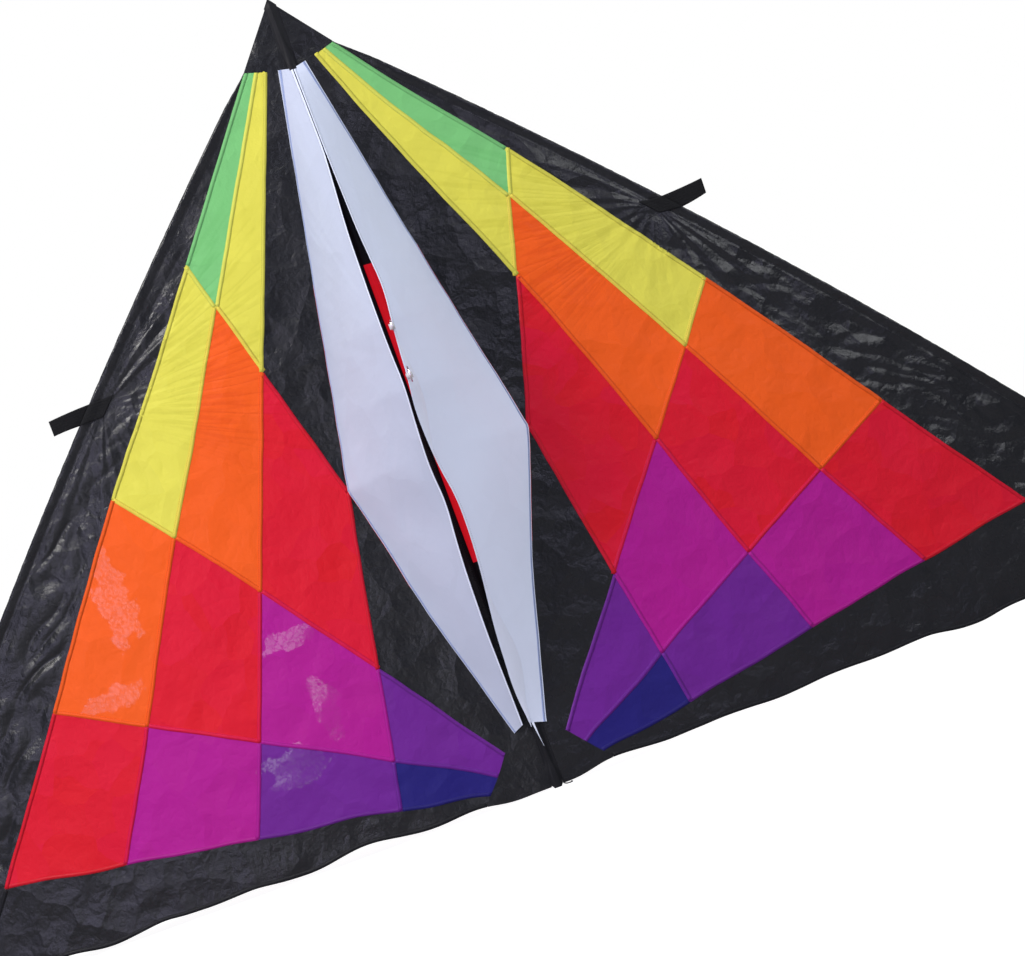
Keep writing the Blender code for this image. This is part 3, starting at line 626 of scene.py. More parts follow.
# Painted glow: the red centre glows so that it shows inside the shaded slit under the keel.
GLOWING_CENTRE_RED = cloth_material("glowing_centre_red_cloth", CLOTH["red"], glow=0.45)
POCKET_CLOTH = cloth_material("pocket_cloth", CLOTH["black"], rough=0.45, crinkle=0.5, shine=0.10)
BLUE_HEM = cloth_material("blue_hem", (0.33, 0.40, 0.64), rough=0.50, crinkle=0.3)
# Painted glow: the keel's pale free edges and the right panel's folded hems glow a little.
GLOWING_WHITE_EDGE = cloth_material("glowing_white_edge", (0.68, 0.72, 0.84), rough=0.50, crinkle=0.3, glow=0.15)
WEBBING = webbing_material("black_webbing", (0.007, 0.007, 0.008))
WHITE_WEBBING = webbing_material("white_webbing", (0.74, 0.74, 0.76))
DARK_THREAD = thread_material("dark_thread", (0.030, 0.028, 0.030))
BLUE_THREAD = thread_material("blue_thread", (0.30, 0.36, 0.55))
ROD = rod_material()
MOULDING = moulding_material()
STEEL = steel_material()
seam_materials = {}


def seam_material(colour, neighbour):
    """Two layers of cloth: the neighbour's turned edge shows through the paler panel."""
    key = (colour, neighbour)
    if key not in seam_materials:
        tone = mix(CLOTH[colour], CLOTH[neighbour], 0.12)
        seam_materials[key] = cloth_material(f"{colour}_on_{neighbour}", tone, 0.42, 0.5)
    return seam_materials[key]


def seam_thread(colour):
    """Thread close to the panel's own colour."""
    key = (colour, "thread")
    if key not in seam_materials:
        seam_materials[key] = thread_material(colour + "_thread", tuple(0.62 * c for c in CLOTH[colour]))
    return seam_materials[key]


# Meshes
def add_piece(name, points, faces, materials, which=None):
    mesh = bpy.data.meshes.new(name)
    mesh.from_pydata(points, [], faces)
    for material in materials:
        mesh.materials.append(material)
    if which:
        mesh.polygons.foreach_set("material_index", which)
    mesh.shade_smooth()
    piece = bpy.data.objects.new(name, mesh)
    bpy.context.scene.collection.objects.link(piece)
    return piece


def grid_faces(rows, columns, flip=False, closed=False):
    """Quads between the points of a grid, given row by row."""
    faces = []
    for row in range(rows - 1):
        for column in range(columns if closed else columns - 1):
            after = (column + 1) % columns
            a, b = row * columns + column, row * columns + after
            quad = (a, b, b + columns, a + columns)
            faces.append(quad[::-1] if flip else quad)
    return faces


def straight_corners(hull):
    """The hull's points where it really turns."""
    kept = []
    for before, here, after in zip(hull[-1:] + hull[:-1], hull, hull[1:] + hull[:1]):
        first, second = (here - before).normalized(), (after - here).normalized()
        if abs(first.x * second.y - first.y * second.x) > math.sin(math.radians(2)):
            kept.append(here)
    return kept


def solid_outline(node):
    """A panel's outline in its wing's plane, counter-clockwise, from its solid in the frame."""
    corners = {(round(abs(v.co.x), 4), round(v.co.z, 4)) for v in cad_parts[node].data.vertices}
    corners = [Vector(corner) for corner in sorted(corners)]
    hull = []
    for index in geometry.convex_hull_2d(corners):
        if all((corners[index] - other).length > 0.002 for other in hull):
            hull.append(corners[index])
    hull = straight_corners(hull)
    return hull if outline_area(hull) > 0 else hull[::-1]


def grown(outline, distance):
    """The outline with every edge moved outwards."""
    corners = []
    for k, corner in enumerate(outline):
        before = (corner - outline[k - 1]).normalized()
        after = (outline[(k + 1) % len(outline)] - corner).normalized()
        out = Vector((before.y + after.y, -before.x - after.x))
        corners.append(corner + out * (distance / max(0.3, 1 + before.dot(after))))
    return corners


def outline_of(node):
    """The solid's outline, with laps at its neighbours and the cloth near the nose as it is sewn there."""
    outline = solid_outline(node)
    if node.endswith("green_nose_panel"):
        drop = NOSE_PATCH_DEPTH / (1 + NOSE_PATCH_RISE * NOSE_SEAM_SLOPES[-1])
        outer = Vector((NOSE_SEAM_SLOPES[-1] * drop - 0.0004, NOSE_Z - drop - 0.0004))
        corners = [k for k, corner in enumerate(outline) if corner.x >= 0.09]
        outline[min(corners, key=lambda k: (outline[k] - outer).length)] = outer
    if node.endswith("nose_patch"):
        lap = Vector((EDGE_SLOPE, -1)) * PATCH_LAP
        outline = [p + lap if NOSE_Z - p.y > NOSE_PATCH_DEPTH / 2 else p for p in outline]
    elif node.endswith("tail_patch"):
        rises = [PATCH_LAP if p.y > TAIL_Z + 0.005 else 0.0 for p in outline]
        outline = [p + Vector((PATCH_LAP, rise)) for p, rise in zip(outline, rises)]
    elif not node.endswith("trailing_edge_band"):
        outline = grown(outline, PATCH_LAP if "centre" in node else PANEL_LAP)
    return [Vector((UNDER_POCKET, p.y)) if p.x < 0.02 else p for p in outline]


def inside(outline, point):
    return all(
        (b.x - a.x) * (point.y - a.y) - (b.y - a.y) * (point.x - a.x) >= 0
        for a, b in zip(outline, outline[1:] + outline[:1])
    )


def cut_grid(outline, step):
    """A square grid cut to a convex outline, as points of the plane and faces."""
    low = Vector((min(p.x for p in outline), min(p.y for p in outline)))
    columns = math.ceil((max(p.x for p in outline) - low.x) / step) + 1
    rows = math.ceil((max(p.y for p in outline) - low.y) / step) + 1
    form = bmesh.new()
    places = [(low.x + c * step, low.y + r * step, 0) for r in range(rows) for c in range(columns)]
    verts = [form.verts.new(place) for place in places]
    for face in grid_faces(rows, columns):
        form.faces.new([verts[index] for index in face])
    for a, b in zip(outline, outline[1:] + outline[:1]):
        geometry_now = form.verts[:] + form.edges[:] + form.faces[:]
        normal = Vector((b.y - a.y, a.x - b.x, 0))
        bmesh.ops.bisect_plane(form, geom=geometry_now, plane_co=(*a, 0), plane_no=normal, clear_outer=True)
    bmesh.ops.remove_doubles(form, verts=form.verts[:], dist=step * 0.05)
    form.verts.index_update()
    points = [(v.co.x, v.co.y) for v in form.verts]
    faces = [[v.index for v in face.verts] for face in form.faces]
    form.free()
    return points, faces


def outline_area(outline):
    return sum(a.x * b.y - b.x * a.y for a, b in zip(outline, outline[1:] + outline[:1])) / 2


# Sail panels
def colour_of(node):
    for colour in CLOTH:
        if f"_{colour}_" in node:
            return colour
    return "black"


def panel_nodes(label):
    """The wing's flat pieces of cloth."""
    others = ("leading_edge", "keel_panel", "strap", "cap", "hook")
    return [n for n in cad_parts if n.startswith(label + "_") and not any(word in n for word in others)]


def drawn_black(side, x, z):
    """Whether the red centre's front sheet is drawn black at a place, rather than in red with painted glow.
    """
    shown = RED_GLOW_DROPS[0] < NOSE_Z - z < RED_GLOW_DROPS[1]
    return not shown or (side < 0 and x < DARK_CENTRE)


def add_panel(node, side, outline, pieces):
    points, faces = cut_grid(outline, PANEL_STEP)
    if side < 0:
        faces = [face[::-1] for face in faces]
    colour = colour_of(node)
    body = "left_wing" if side < 0 else "right_wing"
    lift = PATCH_LIFT * (node.endswith("_patch") - ("centre" in node))
    places = [sail_point(side, x, z, lift) for x, z in points]
    panel = add_piece(node + "_cloth", places, faces, [MATERIALS[colour]])
    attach(panel, body)
    if "centre" in node:
        # A sheet just before the red centre panel: red cloth with painted glow where the slit shows it, black
        # elsewhere.
        places = [sail_point(side, x, z, PATCH_LIFT / 2) for x, z in points]
        which = [int(drawn_black(side, *points[face[0]])) for face in faces]
        front_sheet = add_piece(node + "_lining", places, faces, [GLOWING_CENTRE_RED, MATERIALS["black"]], which)
        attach(front_sheet, body)
        pieces = [*pieces, front_sheet]
    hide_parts(node)
    return panel


def edge_strip(side, a, b, lift):
    """A turned seam allowance along one edge of a panel, on both faces of the cloth."""
    along = (b - a).normalized()
    a, b = a + along * SEAM_TRIM, b - along * SEAM_TRIM
    inwards = Vector((-along.y, along.x))
    count = max(2, round((b - a).length / SEAM_STEP))
    points = []
    for step in range(count + 1):
        for depth, height in ((-SEAM_LAP, lift), (SEAM_WIDTH, lift), (SEAM_WIDTH, -lift), (-SEAM_LAP, -lift)):
            place = a.lerp(b, step / count) + inwards * depth
            points.append(sail_point(side, place.x, place.y, height))
    faces = grid_faces(count + 1, 4, side < 0, closed=True)
    last = count * 4
    ends = [(3, 2, 1, 0), (last, last + 1, last + 2, last + 3)]
    return points, faces + ([end[::-1] for end in ends] if side < 0 else ends)


def stitch(centre, along, out):
    """One stitch: a slim spindle of thread that lies on the cloth."""
    aside = along.cross(out).normalized() * STITCH_RADIUS
    tip = along * (STITCH_LENGTH / 2)
    top = out * STITCH_RADIUS
    points = [centre - tip, centre + aside, centre + top, centre - aside, centre - top, centre + tip]
    faces = [(0, 2, 1), (0, 3, 2), (0, 4, 3), (0, 1, 4), (5, 1, 2), (5, 2, 3), (5, 3, 4), (5, 4, 1)]
    return points, faces


def stitch_row(line, out):
    """Stitches along a line of points."""
    points = []
    faces = []
    for before, after in zip(line, line[1:]):
        more, extra = stitch((before + after) / 2, (after - before).normalized(), out)
        faces += [tuple(index + len(points) for index in face) for face in extra]
        points += more
    return points, faces


def seam_stitches(side, a, b, lift):
    along = (b - a).normalized()
    inwards = Vector((-along.y, along.x)) * (SEAM_WIDTH * 0.8)
    count = max(2, round((b - a).length / STITCH_PITCH))
    places = [a.lerp(b, step / count) + inwards for step in range(count + 1)]
    shapes = []
    for face in (1, -1):
        line = [sail_point(side, p.x, p.y, face * (lift + 0.0001)) for p in places]
        shapes.append(stitch_row(line, Vector((0, -face, 0))))
    return shapes


def join(shapes):
    """One list of points and one of faces from several shapes."""
    points = []
    faces = []
    for more, extra in shapes:
        faces += [tuple(index + len(points) for index in face) for face in extra]
        points += more
    return points, faces


def seam_neighbour(node, outlines, a, b):
    """The panel across an edge, if there is one."""
    beyond = (a + b) / 2 + Vector((b.y - a.y, a.x - b.x)).normalized() * 0.004
    found = [other for other, shape in outlines.items() if other != node and inside(shape, beyond)]
    return found[0] if found else None


def takes_seam(node, other):
    """A seam is turned on to the paler panel, or on to the first of two panels of one colour."""
    if other is None:
        return True
    ranks = [PALEST_FIRST.index(colour_of(name)) for name in (node, other)]
    return (ranks[0], node) < (ranks[1], other)


def add_seams(label, side, outlines):
    """Seam allowances and their stitches, a piece of each for every panel that has any."""
    made = {}
    for node, outline in outlines.items():
        colour = colour_of(node)
        made[node] = []
        if "centre" in node:
            continue
        strips = []
        materials = []
        which = []
        threads = []
        for index, (a, b) in enumerate(zip(outline, outline[1:] + outline[:1])):
            other = seam_neighbour(node, outlines, a, b)
            plain = max(a.x, b.x) < 0.02 or (other or "").endswith("_patch")
            if (b - a).length < 0.012 or plain or not takes_seam(node, other):
                continue
            lift = SEAM_LIFT + 0.00005 * index
            strip = edge_strip(side, a, b, lift)
            material = seam_material(colour, colour_of(other) if other else "black")
            if material not in materials:
                materials.append(material)
            which += [materials.index(material)] * len(strip[1])
            strips.append(strip)
            threads += seam_stitches(side, a, b, lift)
        if strips:
            made[node].append(add_piece(node + "_seams", *join(strips), materials, which))
            made[node].append(add_piece(node + "_stitches", *join(threads), [seam_thread(colour)]))
            for piece in made[node]:
                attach(piece, label + "_wing")
    return made


def add_sail(label, side):
    outlines = {node: outline_of(node) for node in panel_nodes(label)}
    pieces = add_seams(label, side, outlines)
    for node, outline in outlines.items():
        add_panel(node, side, outline, pieces[node])


# Leading edge band
def level(z, tilt, outwards, backwards):
    """A point of the sleeve's slice at a height, from offsets across the leading edge."""
    centre, along, out, back = edge_frame(z)
    spoke = out * outwards + back * backwards
    slide = (tilt * spoke.x - spoke.z) / (along.z - tilt * along.x)
    return centre + spoke + along * slide


def sleeve_slice(seed, z, depth, puff, hug):
    """Offsets of the sleeve, from the stitch line over the front of the spar and back behind it."""
    down = (NOSE_Z - z) * 1.4
    radius = SLEEVE_RADIUS * puff
    offsets = []
    for step in range(1, PLY_STEPS + 1):
        t = step / PLY_STEPS
        gather = 0.0009 * grain(seed + 31, down / 0.011, t) * math.sin(math.pi * t)
        offsets.append((-depth * (1 - t), -radius * math.sin(math.pi / 2 * t) ** 1.2 + gather))
    for step in range(1, ROUND_STEPS + 1):
        turn = math.pi * (step / ROUND_STEPS - 0.5)
        bump = radius + 0.0007 * max(-0.5, grain(seed + 32, down / 0.012, step / 4))
        offsets.append((bump * math.cos(turn), bump * math.sin(turn)))
    for step in range(1, PLY_STEPS + 1):
        t = step / PLY_STEPS
        turn = math.pi * (0.5 + 0.48 * min(1, 1.6 * t))
        inner = min(radius * math.cos(turn), -depth * max(0, (t - 0.6) / 0.4))
        tight = (inner, max(0.0004, radius * math.sin(turn)))
        loose = (-depth * t, 0.0004 + radius * math.cos(math.pi / 2 * t) ** 1.2)
        offsets.append(mix(loose, tight, hug))
    return offsets


def band_rows():
    """Heights down the leading edge, from the nose patch to the trailing edge."""
    low, high = TAIL_Z, NOSE_Z - EDGE_START
    for _ in range(50):
        middle = (low + high) / 2
        low, high = (low, middle) if middle > patch_line_z(edge_x(middle)) else (middle, high)
    count = math.ceil((low - TAIL_Z) / SLEEVE_ROW)
    return [low + (TAIL_Z - low) * row / count for row in range(count + 1)]


def sleeve_depth(z):
    return min(SLEEVE_DEPTH, 0.75 * (edge_x(z) - band_inner_x(z)) / math.hypot(1, edge_slope(z)))


def add_band(label, side):
    seed = SEEDS[side]
    rows = band_rows()
    points = []
    for row, z in enumerate(rows):
        tilt = NOSE_PATCH_RISE * max(0.0, 1 - row / TILTED_ROWS)
        depth = sleeve_depth(z)
        stitch_x = edge_x(z) - depth * math.hypot(1, edge_slope(z))
        inner_x = band_inner_x(z)
        for column in range(BAND_COLUMNS + 1):
            x = inner_x + (stitch_x - inner_x) * column / BAND_COLUMNS
            points.append(sail_point(side, x, z + tilt * (x - edge_x(z))))
        puff = 0.15 + 0.85 * smooth(rows[0] - z, 0.0, SLEEVE_TAPER)
        hug = 1 - smooth(abs(z - SPREADER_Z), HOOK_LENGTH * 0.6, HOOK_LENGTH * 1.4)
        for outwards, backwards in sleeve_slice(seed, z, depth, puff, hug):
            place = level(z, tilt, outwards, backwards)
            points.append(Vector((side * place.x, place.y, place.z)))
    columns = BAND_COLUMNS + 1 + 2 * PLY_STEPS + ROUND_STEPS
    faces = grid_faces(len(rows), columns, side > 0)
    node = label + "_leading_edge_band"
    band = add_piece(node + "_cloth", points, faces, [MATERIALS["black"]])
    line = []
    for z in rows:
        stitch_x = edge_x(z) - sleeve_depth(z) * math.hypot(1, edge_slope(z))
        line.append(sail_point(side, stitch_x, z, 0.0005))
    thread = add_piece(node + "_stitches", *stitch_row(line, Vector((0, -1, 0))), [DARK_THREAD])
    for piece in (band, thread):
        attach(piece, label + "_wing")
    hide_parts(node)


# Keel
def ridge_ends():
    return min(TOW_DROPS) - TOW_FLAT, max(TOW_DROPS) + TOW_FLAT


def ridge_y(drop):
    first, last = ridge_ends()
    rise = (drop - KEEL_TOP) / (first - KEEL_TOP)
    fall = (KEEL_BOTTOM - drop) / (KEEL_BOTTOM - last)
    return -(POCKET_DEPTH + KEEL_LIFT) - KEEL_DEPTH * max(0.0, min(1.0, rise, fall))


def slit_line(drop):
    for (start, *first), (end, *last) in zip(SLIT, SLIT[1:]):
        if drop <= end:
            return mix(first, last, max(0.0, (drop - start) / (end - start)))
    return SLIT[-1][1:]


def slit_at(drop):
    """Lean to the right and half width of the slit between the keel's free edges."""
    near = [slit_line(drop + step * 0.010) for step in range(-3, 4)]
    return tuple(sum(values) / len(near) for values in zip(*near))


def keel_seam_x(drop):
    return min(NOSE_SEAM_SLOPES[0] * drop, TAIL_SEAM_SLOPES[0] * (SAIL_HEIGHT - drop))


def keel_point(side, drop, share, lift=0.0):
    """A point of a keel panel, from its seam on the sail (0) to its free edge (1)."""
    seed = SEEDS[side]
    z = NOSE_Z - drop
    seam = sail_point(side, keel_seam_x(drop) + KEEL_LAP, z, KEEL_OFF_SAIL)
    seam.x = abs(seam.x)
    lean, half = slit_at(drop)
    ridge = Vector((half + side * lean, ridge_y(drop), z))
    away = Vector((seam.y - ridge.y, ridge.x - seam.x, 0)).normalized()
    swell = KEEL_BULGE * (-ridge.y / KEEL_DEPTH) * 4 * share * (1 - share)
    width = (ridge - seam).length
    held = smooth(share * width, 0.0, 0.05) * smooth((1 - share) * width, 0.0, 0.04)
    tow = (TOW_DROPS[0] + TOW_DROPS[1]) / 2
    turn = math.atan2(drop - tow, 0.03 + (1 - share) * width)
    swell += held * 0.0009 * grain(seed + 41, turn / 0.05, share * 2)
    swell += held * 0.0035 * grain(seed + 42, drop / 0.17, share * width / 0.12)
    place = seam.lerp(ridge, share) + away * (swell + lift)
    return Vector((side * place.x, place.y, place.z))


def keel_drop(step, share):
    """Drop of a point by its step down the panel: both ends are cut at a slant."""
    top = KEEL_TOP - 0.0085 * (1 - share)
    bottom = KEEL_BOTTOM - 0.010 * share
    return top + (bottom - top) * step


def keel_steps(size):
    count = math.ceil((KEEL_BOTTOM - KEEL_TOP) / size)
    return [row / count for row in range(count + 1)]


def keel_place(side, step, distance, lift):
    """A point at a distance from the seam, or from the free edge where it is negative."""
    width = keel_width(keel_drop(step, 0.5))
    share = distance / width if distance > 0 else 1 + distance / width
    share = min(1.0, max(0.0, share))
    return keel_point(side, keel_drop(step, share), share, lift)


def keel_width(drop):
    return (keel_point(1, drop, 1) - keel_point(1, drop, 0)).length


def keel_strip(side, near, far, lift):
    """A hem between two distances from the seam, or from the free edge where they are negative."""
    points = []
    steps = keel_steps(KEEL_ROW)
    for step in steps:
        for distance, height in ((near, lift), (far, lift), (far, -lift), (near, -lift)):
            points.append(keel_place(side, step, distance, height))
    return points, grid_faces(len(steps), 4, side > 0, closed=True)


def keel_stitches(side, distance):
    line = [keel_place(side, step, distance, 0.0007) for step in keel_steps(STITCH_PITCH)]
    return stitch_row(line, Vector((side * 0.7, -0.7, 0)))


def add_keel(label, side):
    node = label + "_keel_panel"
    steps = keel_steps(KEEL_ROW)
    width = KEEL_COLUMNS + 1
    shares = [column / KEEL_COLUMNS for column in range(width)]
    points = [keel_point(side, keel_drop(step, share), share) for step in steps for share in shares]
    # The right keel panel takes the glowing copy of the white cloth: painted light.
    white = LIT_WHITE if side > 0 else MATERIALS["white"]
    panel = add_piece(node + "_cloth", points, grid_faces(len(steps), width, side > 0), [white])
    hem = add_piece(node + "_hem", *keel_strip(side, 0.0030, 0.0080, 0.0004), [BLUE_HEM])
    # The free edge takes the slightly glowing pale cloth: painted glow.
    edge = add_piece(node + "_edge", *keel_strip(side, -0.0045, -0.0004, 0.0005), [GLOWING_WHITE_EDGE])
    rows_of_thread = [keel_stitches(side, distance) for distance in (0.0055, -0.0055)]
    thread = add_piece(node + "_stitches", *join(rows_of_thread), [BLUE_THREAD])
    extras = [hem, edge, thread]
    if side > 0:
        folds = join([*map(keel_fold, KEEL_FOLDS), keel_spike()])
        # The folded hems take the slightly glowing pale cloth: painted glow.
        extras.append(add_piece("right_keel_folds", *folds, [GLOWING_WHITE_EDGE]))
    for piece in (panel, *extras):
        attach(piece, "spine")
        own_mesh(piece)
    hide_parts(node)
    widths = [keel_width(keel_drop(step, 0.5)) for step in steps]


def keel_fold(fold):
    """A length of the right panel's hem that has folded back on the panel."""
    start, widest, end, most = fold
    rows = 50
    columns = 8
    points = []
    for row in range(rows + 1):
        drop = start + (end - start) * row / rows
        reach = most * smooth(drop, start, widest) * (1 - smooth(drop, widest, end)) + 0.0010
        for column in range(columns + 1):
            share = column / columns
            place = 1 - share * reach / keel_width(drop)
            lift = 0.0012 + 0.05 * reach * math.sin(math.pi * share)
            points.append(keel_point(1, min(drop, KEEL_BOTTOM), place, lift))
    return points, grid_faces(rows + 1, columns + 1)


def keel_spike():
    """The loose end of that hem, which runs out in a point beside the spine."""
    lean, half = slit_at(KEEL_BOTTOM)
    points = []
    for row in range(21):
        share = row / 20
        x = (lean + half) * (1 - share) + 0.001 * share
        y = ridge_y(KEEL_BOTTOM) - 0.0012
        z = NOSE_Z - 1.590 + (1.590 - SPIKE_END) * share
        wide = 0.008 * (1 - share) ** 1.5 + 0.0008
        points += [Vector((x, y, z)), Vector((x + wide, y + 0.001, z))]
    return points, grid_faces(21, 2, True)


# Spine pocket and nose tab
def pocket_half(drop):
    foot = smooth(drop, NOSE_Z - 0.010, NOSE_Z - POCKET_FOOT_Z)
    return min(POCKET_HALF_WIDTH, BEAK_HALF_WIDTH * 0.6 + 0.765 * drop) - 0.0055 * foot


def pocket_depth(z, across):
    """Half depth of the pocket: flat flanges, a round over the rod, and a wider one over the end cap."""
    drop = NOSE_Z - z
    foot = 1 - smooth(z, 0.030, 0.060)
    nose = 1 - smooth(drop, 0.10, 0.20)
    bulge = POCKET_BULGE + 0.0050 * foot + 0.0015 * nose
    top = (POCKET_DEPTH + 0.0031 * foot) * (0.2 + 0.8 * smooth(drop, 0.0, 0.02))
    return POCKET_FLANGE + (top - POCKET_FLANGE) * math.exp(-((abs(across) / bulge) ** (4 - 2 * nose)))


def add_pocket():
    rows = 220
    columns = 24
    points = []
    for row in range(rows + 1):
        z = POCKET_FOOT_Z + (NOSE_Z - POCKET_FOOT_Z) * row / rows
        half = pocket_half(NOSE_Z - z)
        for face in (-1, 1):
            for column in range(columns):
                share = face * (2 * column / columns - 1)
                wave = 0.0005 * grain(51 + face, z / 0.03, share) * (1 - share * share)
                points.append(Vector((share * half, face * (pocket_depth(z, share * half) + wave), z)))
    faces = grid_faces(rows + 1, 2 * columns, closed=True)
    faces.append(tuple(range(len(points) - 2 * columns, len(points))))
    # Where the slit shows the red centre, the pocket's right side is drawn in the glowing red cloth: painted
    # glow.
    which = []
    for face in faces:
        place = sum((points[index] for index in face), Vector()) / len(face)
        shows = place.y < 0 and RED_GLOW_DROPS[0] < NOSE_Z - place.z < RED_GLOW_DROPS[1]
        which.append(int(shows and place.x > POCKET_RIGHT))
    pocket = add_piece("spine_pocket_cloth", points, faces, [POCKET_CLOTH, GLOWING_CENTRE_RED], which)
    lines = []
    low, high = TAIL_Z + 0.06, NOSE_Z - KEEL_TOP
    count = round((high - low) / STITCH_PITCH)
    heights = [low + (high - low) * step / count for step in range(count + 1)]
    for side in (-1, 1):
        for face in (-1, 1):
            line = [Vector((side * 0.0115, face * 0.0010, z)) for z in heights]
            lines.append(stitch_row(line, Vector((0, face, 0))))
    thread = add_piece("spine_pocket_stitches", *join(lines), [DARK_THREAD])
    tab = add_nose_tab()
    for piece in (pocket, thread, tab):
        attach(piece, "spine")
    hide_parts("spine_pocket")


def add_nose_tab():
    """The pocket's folded top: a narrow ridge down the nose patch that laps over the keel."""
    points = []
    rows = 60
    columns = 10
    for row in range(rows + 1):
        drop = NOSE_TAB[0] + (NOSE_TAB[1] - NOSE_TAB[0]) * row / rows
        half = 0.002 + 0.006 * smooth(drop, *NOSE_TAB)
        half -= 0.004 * smooth(drop, NOSE_TAB[1] - 0.006, NOSE_TAB[1])
        rise = POCKET_DEPTH + 0.0006 + 0.0048 * smooth(drop, 0.10, 0.15)
        for column in range(columns + 1):
            share = 2 * column / columns - 1
            points.append(Vector((share * half, -rise + 0.0025 * share * share, NOSE_Z - drop)))
    return add_piece("nose_tab", points, grid_faces(rows + 1, columns + 1, True), [POCKET_CLOTH])


# Straps
def front_rise(x, z):
    """How far the sleeve stands before the sail."""
    edge = edge_distance(x, z)
    depth = sleeve_depth(z)
    if edge >= depth:
        return 0.0
    if edge < 0:
        return math.sqrt(max(0.0, SLEEVE_RADIUS**2 - edge * edge))
    return SLEEVE_RADIUS * math.sin(math.pi / 2 * min(1.0, 1 - edge / depth)) ** 1.2


def add_strap(label, side):
    """A webbing tab sewn to the front of the band, whose free end stands out past the leading edge."""
    rows = [SPREADER_Z + STRAP_WIDTH * (k / 10 - 0.5) for k in range(11)]
    centre = edge_frame(SPREADER_Z)[0]
    lean = (sail_y(edge_x(SPREADER_Z + STRAP_WIDTH)) - centre.y) / STRAP_WIDTH
    columns = 24
    patch = []
    for face in (1, -1):
        for z in rows:
            for column in range(columns):
                over = 0.98 * SLEEVE_RADIUS * math.hypot(1, edge_slope(z))
                x = edge_x(z) - STRAP_PATCH + (STRAP_PATCH + over) * column / (columns - 1)
                patch.append(sail_point(side, x, z, front_rise(x, z) + 0.0012 + face * 0.0008))
    tab = []
    for face in (1, -1):
        for z in rows:
            root = edge_x(z) + (SLEEVE_RADIUS - 0.0007) * math.hypot(1, edge_slope(z))
            for column in range(columns):
                share = column / (columns - 1)
                x = root + (centre.x + STRAP_REACH - root) * share
                rise = STRAP_CURLS[side] * share * (0.4 + 0.6 * share) - 0.10 * (z - SPREADER_Z) * share
                bow = 0.003 * math.sin(math.pi * share)
                y = centre.y + lean * (z - SPREADER_Z) - bow - face * STRAP_THICKNESS / 2
                tab.append(Vector((side * x, y, z + rise)))
    node = label + "_strap"
    half = len(rows) * columns
    pieces = []
    for name, points in (("_patch", patch), ("_tab", tab)):
        faces = grid_faces(len(rows), columns, side < 0)
        faces += [tuple(index + half for index in reversed(face)) for face in faces]
        rim = [k for k in range(columns)]
        rim += [row * columns + columns - 1 for row in range(1, len(rows))]
        rim += [(len(rows) - 1) * columns + k for k in range(columns - 2, -1, -1)]
        rim += [row * columns for row in range(len(rows) - 2, 0, -1)]
        for a, b in zip(rim, rim[1:] + rim[:1]):
            quad = (b, a, a + half, b + half)
            faces.append(quad[::-1] if side < 0 else quad)
        piece = add_piece(node + name, points, faces, [WEBBING])
        pieces.append(piece)
    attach(pieces[0], label + "_wing")
    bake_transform(pieces[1])
    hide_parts(node)


# Tow tabs
def add_tow_tab(label, drop):
    """A loop of white tape round the ring, sewn into the slit's right edge."""
    lean, half = slit_at(drop)
    edge = Vector((lean + half, ridge_y(drop)))
    centre = Vector((0, ridge_y(drop) - TAB_NECK))
    radius = TAB_BORE + TAB_THICKNESS / 2
    turns = [math.pi * k / 16 for k in range(17)]
    loop = [centre + radius * Vector((math.cos(turn), -math.sin(turn))) for turn in turns]
    path = [edge + Vector((0.006, 0.020)), edge + Vector((0.001, 0.002)), *loop]
    path += [edge + Vector((-0.001, 0.002)), edge + Vector((0.004, 0.020))]
    points = []
    for k, here in enumerate(path):
        along = path[min(k + 1, len(path) - 1)] - path[max(k - 1, 0)]
        out = Vector((-along.y, along.x)).normalized() * (TAB_THICKNESS / 2)
        for end, face in ((-1, -1), (1, -1), (1, 1), (-1, 1)):
            place = here + out * face
            points.append(Vector((place.x, place.y, NOSE_Z - drop + end * TAB_HEIGHT / 2)))
    faces = grid_faces(len(path), 4, closed=True) + [(3, 2, 1, 0)]
    faces.append(tuple(len(points) - 4 + k for k in range(4)))
    tab = add_piece(label + "_tow_tab_tape", points, faces, [WHITE_WEBBING])
    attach(tab, "spine")
    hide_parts(label + "_tow_tab")


# Tail cord
def smooth_route(route, step):
    route = [Vector(p) for p in route]
    padded = [2 * route[0] - route[1], *route, 2 * route[-1] - route[-2]]
    line = []
    for a, b, c, d in zip(padded, padded[1:], padded[2:], padded[3:]):
        count = max(1, round((c - b).length / step))
        for k in range(count):
            t = k / count
            square = (2 * a - 5 * b + 4 * c - d) * t**2
            cube = (3 * b - a - 3 * c + d) * t**3
            line.append((2 * b + (c - a) * t + square + cube) / 2)
    return line + [route[-1]]


def add_cord():
    line = smooth_route(CORD_ROUTE, 0.002)
    curve = bpy.data.curves.new("tail_cord_line", "CURVE")
    curve.dimensions = "3D"
    curve.bevel_depth = CORD_RADIUS
    curve.bevel_resolution = 4
    curve.use_fill_caps = True
    spline = curve.splines.new("POLY")
    spline.points.add(len(line) - 1)
    for point, place in zip(spline.points, line):
        point.co = (*place, 1)
    curve.materials.append(thread_material("cord", (0.014, 0.014, 0.016)))
    cord = bpy.data.objects.new("tail_cord_line", curve)
    bpy.context.scene.collection.objects.link(cord)
    knot = add_knot(line[-1])
    for piece in (cord, knot):
        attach(piece, "spine")
    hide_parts("tail_cord")


